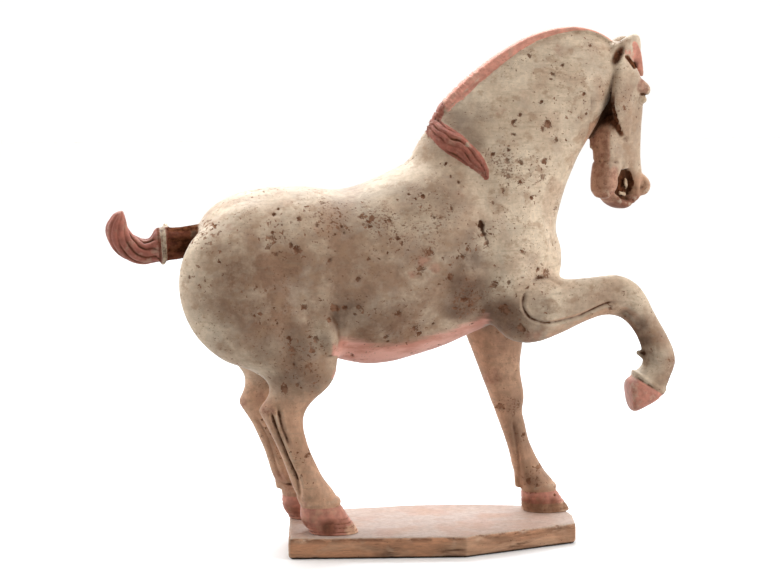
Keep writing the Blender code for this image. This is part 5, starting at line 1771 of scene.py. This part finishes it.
def painted_pottery(colours):
    """The horse's finish: mottled slip, warm bare clay, worn pigments and losses, with earth and painted
    shade darkening the hollows; its stains and brown patina are partly painted shade too.
    """
    material, tree, shader = new_finish("painted pottery")
    place = node(tree, "ShaderNodeTexCoord").outputs["Object"]
    pink, hair, hoof, belly = masks(tree, "paint")
    crease, ridge, lost, bare = masks(tree, "ground")
    dark, pale, ring, stain_and_shade = masks(tree, "detail")
    wide, film_and_shade, near_losses, flesh = masks(tree, "hollows")

    slip = use_group(tree, "Clay mottle", clay_mottle_group, {
        "Place": place, "Light": opaque(colours.slip), "Dark": opaque(colours.slip_stained),
        "Tint": (0.47, 0.30, 0.20, 1), "Tinting": 0.45, "Darkening": 0.7,
    })
    warm = use_group(tree, "Clay mottle", clay_mottle_group,
                     {"Place": stretched(tree, place, (1.3, 1.3, 0.8)), "Light": (0.60, 0.35, 0.22, 1),
                      "Dark": opaque(colours.clay), "Tint": (0.40, 0.23, 0.145, 1), "Tinting": 0.6,
                      "Darkening": 0.8})
    # Brown patina over the slip, partly painted shade.
    film_and_shade_share = times(tree, film_and_shade, patches(tree, place, (0.028, 6.0, 0.66), (0.28, 0.60), (0.42, 1.15)),
                   clamp=True)
    result = blend(tree, film_and_shade_share, slip["Colour"],
                   blend(tree, 1.0, opaque(colours.film_and_shade), tone_of(tree, slip["Grain"]), "MULTIPLY"))
    edge = times(tree, less(tree, cloud(tree, place, 0.012, 5.0, 0.62), 0.5), 0.9)
    bare_share = eased(tree, plus(tree, bare, edge), 0.12, 0.85)
    result = blend(tree, bare_share, result, warm["Colour"])
    wiped = cloud(tree, stretched(tree, place, (0.35, 0.35, 2.6), (0.0, 0.12, 0.0)), 0.007, 4.0, 0.6)
    result = blend(tree, eased(tree, wiped, 0.50, 0.70, 0.0, 0.34), result, (0.30, 0.215, 0.14, 1))
    greyed = eased(tree, cloud(tree, place, 0.026, 5.0, 0.6, 0.4), 0.50, 0.64, 0.0, 0.26)
    greyed = times(tree, greyed, rest(tree, bare_share))
    result = blend(tree, greyed, result, (0.42, 0.335, 0.26, 1))
    ochre = patches(tree, stretched(tree, place, (1.0, 1.0, 1.3)), (0.013, 6.0, 0.65), (0.50, 0.66),
                    (0.0, 0.6))
    result = blend(tree, ochre, result, (0.34, 0.205, 0.12, 1))
    redness = less(tree, cloud(tree, place, 0.008, 6.0, 0.68), 0.5)
    redness = eased(tree, plus(tree, flesh, redness), 0.30, 0.85, 0.0, 0.85)
    redness = times(tree, redness, eased(tree, flesh, 0.0, 0.2))
    lip_tone = blend(tree, patches(tree, place, (0.006, 5.0, 0.65), (0.40, 0.60)),
                     (0.27, 0.105, 0.062, 1), (0.46, 0.235, 0.155, 1))
    lip_tone = blend(tree, eased(tree, flesh, 0.72, 1.0, 0.0, 0.85), lip_tone, (0.20, 0.060, 0.032, 1))
    result = blend(tree, redness, result, lip_tone)
    # Brown stains over the slip, partly painted shade at the girth and below the crest.
    stain_and_shade_share = times(tree, stain_and_shade, patches(tree, place, (0.02, 5.0, 0.65), (0.24, 0.60), (0.15, 1.0)))
    result = blend(tree, times(tree, stain_and_shade_share, 0.88), result, (0.120, 0.066, 0.039, 1))
    streaked = cloud(tree, stretched(tree, place, (0.3, 0.3, 1.6)), 0.010, 5.0, 0.65)
    under = plus(tree, belly, times(tree, less(tree, streaked, 0.5), 1.1))
    under = times(tree, eased(tree, under, 0.12, 0.72, 0.0, 0.92), eased(tree, belly, 0.0, 0.25))
    drawn = stretched(tree, place, (0.4, 0.4, 1.4))
    pinks = blend(tree, patches(tree, drawn, (0.014, 4.0, 0.55), (0.38, 0.62)),
                  (0.60, 0.255, 0.185, 1), opaque(colours.belly))
    result = blend(tree, under, result, pinks)

    for mask, paint, rubbed in ((pink, colours.pink, 0.30), (hair, colours.hair, 0.30),
                                (hoof, colours.hoof, 0.50)):
        painted = use_group(tree, "Worn paint", worn_paint_group,
                            {"Place": place, "Skin": result, "Paint": opaque(paint), "Mask": mask,
                             "Rubbed": rubbed, "Edge": 0.5})
        result = painted["Colour"]
    bound = blend(tree, patches(tree, place, (0.006, 5.0, 0.65), (0.36, 0.60)), (0.15, 0.090, 0.060, 1),
                  (0.42, 0.30, 0.20, 1))
    result = blend(tree, ring, result, bound)
    # Near black brown over the dark mask: mostly painted shade in the mouth, hollows, slot, hole, jowls and
    # strands, partly grime and a darker tone.
    deep = blend(tree, patches(tree, place, (0.005, 4.0, 0.55), (0.40, 0.60)), (0.045, 0.013, 0.005, 1),
                 (0.12, 0.042, 0.019, 1))
    result = blend(tree, eased(tree, dark, 0.04, 0.95), result, deep)
    result = blend(tree, pale, result, opaque(colours.tooth))

    specks = use_group(tree, "Lost specks", speckle_group, {
        "Place": place, "Size": 0.0044, "Level": 0.715, "Gathering": 0.085, "Near": near_losses,
    })["Specks"]
    pits = use_group(tree, "Lost specks", speckle_group,
                     {"Place": stretched(tree, place, (1.0, 1.0, 1.25)), "Size": 0.0023, "Level": 0.70,
                      "Gathering": 0.085, "Near": near_losses})["Specks"]
    painted_over = larger(tree, larger(tree, pink, hair), hoof)
    free = rest(tree, times(tree, painted_over, 0.8))
    worn = less(tree, cloud(tree, place, 0.0050, 3.0, 0.6), 0.5)
    ragged = less(tree, cloud(tree, place, 0.0021, 4.0, 0.7), 0.5)
    worn = plus(tree, times(tree, worn, 1.5), times(tree, ragged, 1.7))
    patch = eased(tree, plus(tree, lost, worn), 0.56, 0.76)
    scatter = times(tree, larger(tree, specks, times(tree, pits, 0.75)), free)
    gone = larger(tree, patch, scatter)
    depth_colour = blend(tree, patches(tree, place, (0.0052, 4.0, 0.55), (0.38, 0.62)),
                         opaque(colours.loss), (0.26, 0.132, 0.080, 1))
    gone_share = times(tree, gone, patches(tree, place, (0.020, 4.0, 0.6), (0.36, 0.62), (0.66, 0.97)))
    result = blend(tree, gone_share, result, depth_colour)

    # Painted shade with earth: the creases and broad hollows are darkened towards the dark brown.
    hollow_soil_and_shade = plus(tree, times(tree, crease, 0.72), times(tree, wide, 0.42), clamp=True)
    hollow_soil_and_shade = times(tree, hollow_soil_and_shade, rest(tree, pale))
    result = blend(tree, hollow_soil_and_shade, result, opaque(colours.soil_and_shade))
    rubbed = times(tree, ridge, patches(tree, place, (0.006, 4.0, 0.55), (0.40, 0.62), (0.0, 0.45)))
    rubbed = times(tree, rubbed, free)
    result = blend(tree, rubbed, result, (0.66, 0.54, 0.40, 1))
    tree.links.new(result, shader.inputs["Base Color"])

    rough = plus(tree, 0.70, times(tree, gone, 0.2))
    rough = less(tree, rough, times(tree, slip["Grain"], 0.10))
    tree.links.new(rough, shader.inputs["Roughness"])
    covered = larger(tree, larger(tree, gone, eased(tree, dark, 0.0, 0.7)), hollow_soil_and_shade)
    clean = rest(tree, covered, clamp=True)
    tree.links.new(times(tree, clean, 0.32), shader.inputs["Specular IOR Level"])
    tree.links.new(times(tree, clean, 0.34), shader.inputs["Sheen Weight"])
    shader.inputs["Sheen Roughness"].default_value = 0.32
    height = less(tree, times(tree, slip["Grain"], 0.5), times(tree, gone, 1.3))
    height = plus(tree, height, times(tree, wiped, 0.5))
    bump = node(tree, "ShaderNodeBump", {"Strength": 0.55, "Distance": 0.0005, "Height": height})
    tree.links.new(bump.outputs["Normal"], shader.inputs["Normal"])
    return material


def slab_pottery(colours):
    """The plinth's finish: a pale worn skin on top, bare streaked clay at the sides, painted shade in its
    creases and a painted shadow along its foot.
    """
    material, tree, shader = new_finish("slab pottery")
    place = node(tree, "ShaderNodeTexCoord").outputs["Object"]
    crease, ridge, chips, top = masks(tree, "ground")
    skin = use_group(tree, "Clay mottle", clay_mottle_group, {
        "Place": place, "Light": opaque(colours.slab), "Dark": (0.385, 0.25, 0.185, 1),
        "Tint": (0.43, 0.27, 0.21, 1), "Tinting": 0.5, "Darkening": 0.5,
    })
    side = use_group(tree, "Clay mottle", clay_mottle_group, {
        "Place": stretched(tree, place, (0.5, 0.5, 2.4)), "Light": opaque(colours.slab_side),
        "Dark": (0.22, 0.12, 0.07, 1), "Tint": (0.61, 0.36, 0.225, 1), "Tinting": 0.6, "Darkening": 0.75,
    })
    edge = times(tree, less(tree, cloud(tree, place, 0.006, 4.0, 0.6), 0.5), 0.7)
    result = blend(tree, eased(tree, plus(tree, top, edge), 0.35, 0.65), side["Colour"], skin["Colour"])
    result = blend(tree, times(tree, chips, 0.35), result, (0.62, 0.44, 0.31, 1))
    streaks = cloud(tree, stretched(tree, place, (0.16, 0.16, 1.5)), 0.0075, 6.0, 0.68)
    blotches = patches(tree, place, (0.045, 3.0, 0.55), (0.40, 0.62))
    streaks = times(tree, eased(tree, streaks, 0.50, 0.64), blotches)
    streaks = times(tree, streaks, rest(tree, times(tree, top, 0.9)))
    result = blend(tree, times(tree, streaks, 0.9), result, (0.13, 0.062, 0.032, 1))
    level = node(tree, "ShaderNodeSeparateXYZ", {0: place}).outputs[2]
    upper = times(tree, eased(tree, level, PLINTH_TOP - 0.0075, PLINTH_TOP - 0.002), rest(tree, top))
    drawn = stretched(tree, place, (0.5, 0.5, 1.2))
    upper = times(tree, upper, patches(tree, drawn, (0.008, 5.0, 0.65), (0.42, 0.60)))
    result = blend(tree, times(tree, upper, 0.75), result, (0.17, 0.075, 0.042, 1))
    worn = times(tree, top, patches(tree, place, (0.030, 5.0, 0.65), (0.52, 0.70), (0.0, 0.45)))
    result = blend(tree, worn, result, (0.42, 0.26, 0.18, 1))
    specks = use_group(tree, "Lost specks", speckle_group, {
        "Place": place, "Size": 0.0032, "Level": 0.73, "Gathering": 0.08,
    })["Specks"]
    specks = times(tree, specks, rest(tree, times(tree, top, 0.6)))
    result = blend(tree, times(tree, specks, 0.6), result, opaque(colours.soil_and_shade))
    # Painted shade: the slab's creases are darkened to brown.
    result = blend(tree, times(tree, crease, 0.5), result, (0.14, 0.075, 0.042, 1))
    result = blend(tree, times(tree, ridge, 0.3), result, (0.74, 0.60, 0.46, 1))
    # Painted shadow: the foot of the slab is darkened to near black where it meets the floor.
    result = blend(tree, eased(tree, level, 0.0010, 0.0026, 0.92, 0.0), result, (0.020, 0.012, 0.008, 1))
    tree.links.new(result, shader.inputs["Base Color"])
    tree.links.new(less(tree, 0.9, times(tree, skin["Grain"], 0.1)), shader.inputs["Roughness"])
    shader.inputs["Specular IOR Level"].default_value = 0.3
    height = less(tree, side["Grain"], times(tree, specks, 0.8))
    bump = node(tree, "ShaderNodeBump", {"Strength": 0.6, "Distance": 0.0005, "Height": height})
    tree.links.new(bump.outputs["Normal"], shader.inputs["Normal"])
    return material


# The stage

CAMERA_PLACE = (-0.3825, -2.1486, 0.5006)
CAMERA_TURN = math.radians(9.0)
CAMERA_DROP = math.radians(6.5)
CAMERA_LENS = 101.54


def make_camera():
    """The camera at the photograph's viewing angle: turned about Z, then tipped down."""
    view = bpy.data.cameras.new("view")
    view.lens = CAMERA_LENS
    view.sensor_width = 36.0
    camera = bpy.data.objects.new("view", view)
    camera.location = CAMERA_PLACE
    camera.rotation_euler = (math.pi / 2 - CAMERA_DROP, 0.0, -CAMERA_TURN)
    bpy.context.scene.collection.objects.link(camera)
    bpy.context.scene.camera = camera


def soft_panel(name, place, aim, width, watts, tint=(1.0, 1.0, 1.0)):
    """A square soft light at a place, turned to shine at a point."""
    light = bpy.data.lights.new(name, "AREA")
    light.shape = "SQUARE"
    light.size = width
    light.energy = watts
    light.color = tint
    panel = bpy.data.objects.new(name, light)
    panel.location = place
    panel.rotation_euler = (Vector(aim) - Vector(place)).to_track_quat("-Z", "Y").to_euler()
    panel.visible_camera = False
    bpy.context.scene.collection.objects.link(panel)


def pale_world(front, back):
    """Soft light from all round, brightest from behind, above and the right and dim from the
    front, by the direction's own axes; the backdrop itself stays an even white."""
    world = bpy.data.worlds.new("studio")
    world.use_nodes = True
    tree = world.node_tree
    sky = tree.nodes["Background"]
    way = node(tree, "ShaderNodeSeparateXYZ",
               {0: node(tree, "ShaderNodeTexCoord").outputs["Generated"]}).outputs
    share = plus(tree, times(tree, way[1], 0.8), times(tree, way[2], 0.35))
    share = plus(tree, share, times(tree, way[0], 0.35))
    seen = node(tree, "ShaderNodeLightPath").outputs["Is Camera Ray"]
    inputs = {0: seen, 2: eased(tree, share, -0.75, 0.85, front, back), 3: 1.05}
    strength = node(tree, "ShaderNodeMix", inputs, data_type="FLOAT").outputs[0]
    tree.links.new(strength, sky.inputs["Strength"])
    sky.inputs["Color"].default_value = (1.0, 0.985, 0.96, 1.0)
    bpy.context.scene.world = world


def make_floor():
    """A wide white floor under the plinth, which throws back less light than it shows."""
    half = 9.0
    mesh = bpy.data.meshes.new("floor")
    mesh.from_pydata([(-half, -half, 0), (half, -half, 0), (half, half, 0), (-half, half, 0)], [],
                     [(0, 1, 2, 3)])
    floor = bpy.data.objects.new("floor", mesh)
    floor.location.z = -0.0002
    material, tree, shader = new_finish("pale floor")
    seen = node(tree, "ShaderNodeLightPath").outputs["Is Camera Ray"]
    tree.links.new(blend(tree, seen, (0.44, 0.44, 0.44, 1), (0.95, 0.95, 0.95, 1)),
                   shader.inputs["Base Color"])
    shader.inputs["Roughness"].default_value = 0.9
    shader.inputs["Specular IOR Level"].default_value = 0.1
    mesh.materials.append(material)
    bpy.context.scene.collection.objects.link(floor)


# Operators and panel


class MakeHorse(bpy.types.Operator):
    """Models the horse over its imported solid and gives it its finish"""

    bl_idname = "pottery.make_horse"
    bl_label = "Horse"

    def execute(self, context):
        figure = model_horse(context.scene.horse_sizes)
        figure.data.materials.append(painted_pottery(context.scene.clay_colours))
        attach(figure, "root")
        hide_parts("horse")
        return {"FINISHED"}


class MakePlinth(bpy.types.Operator):
    """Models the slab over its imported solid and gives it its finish"""

    bl_idname = "pottery.make_plinth"
    bl_label = "Plinth"

    def execute(self, context):
        slab = model_plinth(context.scene.plinth_sizes)
        slab.data.materials.append(slab_pottery(context.scene.clay_colours))
        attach(slab, "root")
        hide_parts("plinth")
        return {"FINISHED"}


class MakeStage(bpy.types.Operator):
    """Sets the floor, the soft lights and the camera"""

    bl_idname = "pottery.make_stage"
    bl_label = "Stage"

    def execute(self, context):
        make_floor()
        pale_world(0.13, 1.65)
        soft_panel("right light", (2.4, -1.35, 1.1), (0.05, 0.0, 0.35), 1.3, 39.0)
        soft_panel("top light", (-0.4, 0.9, 2.35), (0.0, 0.0, 0.4), 1.5, 40.0, (0.9, 0.96, 1.0))
        soft_panel("back light", (0.0, 1.5, 2.5), (0.0, 0.0, 0.35), 1.6, 50.0, (0.70, 0.86, 1.0))
        soft_panel("left light", (-2.35, 0.65, 0.9), (-0.2, 0.0, 0.3), 1.2, 28.0)
        context.scene.view_settings.view_transform = "Standard"
        make_camera()
        return {"FINISHED"}


class PotteryPanel(bpy.types.Panel):
    """Lists the pieces and their sizes and colours"""

    bl_idname = "VIEW3D_PT_pottery_horse"
    bl_label = "Pottery Horse"
    bl_space_type = "VIEW_3D"
    bl_region_type = "UI"
    bl_category = "Pottery Horse"

    def draw(self, context):
        layout = self.layout
        for kind, group in ((MakeHorse, "horse_sizes"), (MakePlinth, "plinth_sizes"), (MakeStage, None)):
            layout.operator(kind.bl_idname)
            if group:
                values = getattr(context.scene, group)
                for name in values.__class__.__annotations__:
                    layout.prop(values, name)
        for name in ClayColours.__annotations__:
            layout.prop(context.scene.clay_colours, name)


CLASSES = (HorseSizes, PlinthSizes, ClayColours, MakeHorse, MakePlinth, MakeStage, PotteryPanel)


def register():
    """Registers the classes and puts the sizes and colours on the scene."""
    for kind in CLASSES:
        bpy.utils.register_class(kind)
    bpy.types.Scene.horse_sizes = PointerProperty(type=HorseSizes)
    bpy.types.Scene.plinth_sizes = PointerProperty(type=PlinthSizes)
    bpy.types.Scene.clay_colours = PointerProperty(type=ClayColours)


def unregister():
    """Takes them off again."""
    del bpy.types.Scene.clay_colours
    del bpy.types.Scene.plinth_sizes
    del bpy.types.Scene.horse_sizes
    for kind in reversed(CLASSES):
        bpy.utils.unregister_class(kind)


def main():
    """Registers the classes and makes every piece in order."""
    register()
    bpy.ops.pottery.make_horse()
    bpy.ops.pottery.make_plinth()
    bpy.ops.pottery.make_stage()


if __name__ == "__main__":
    main()
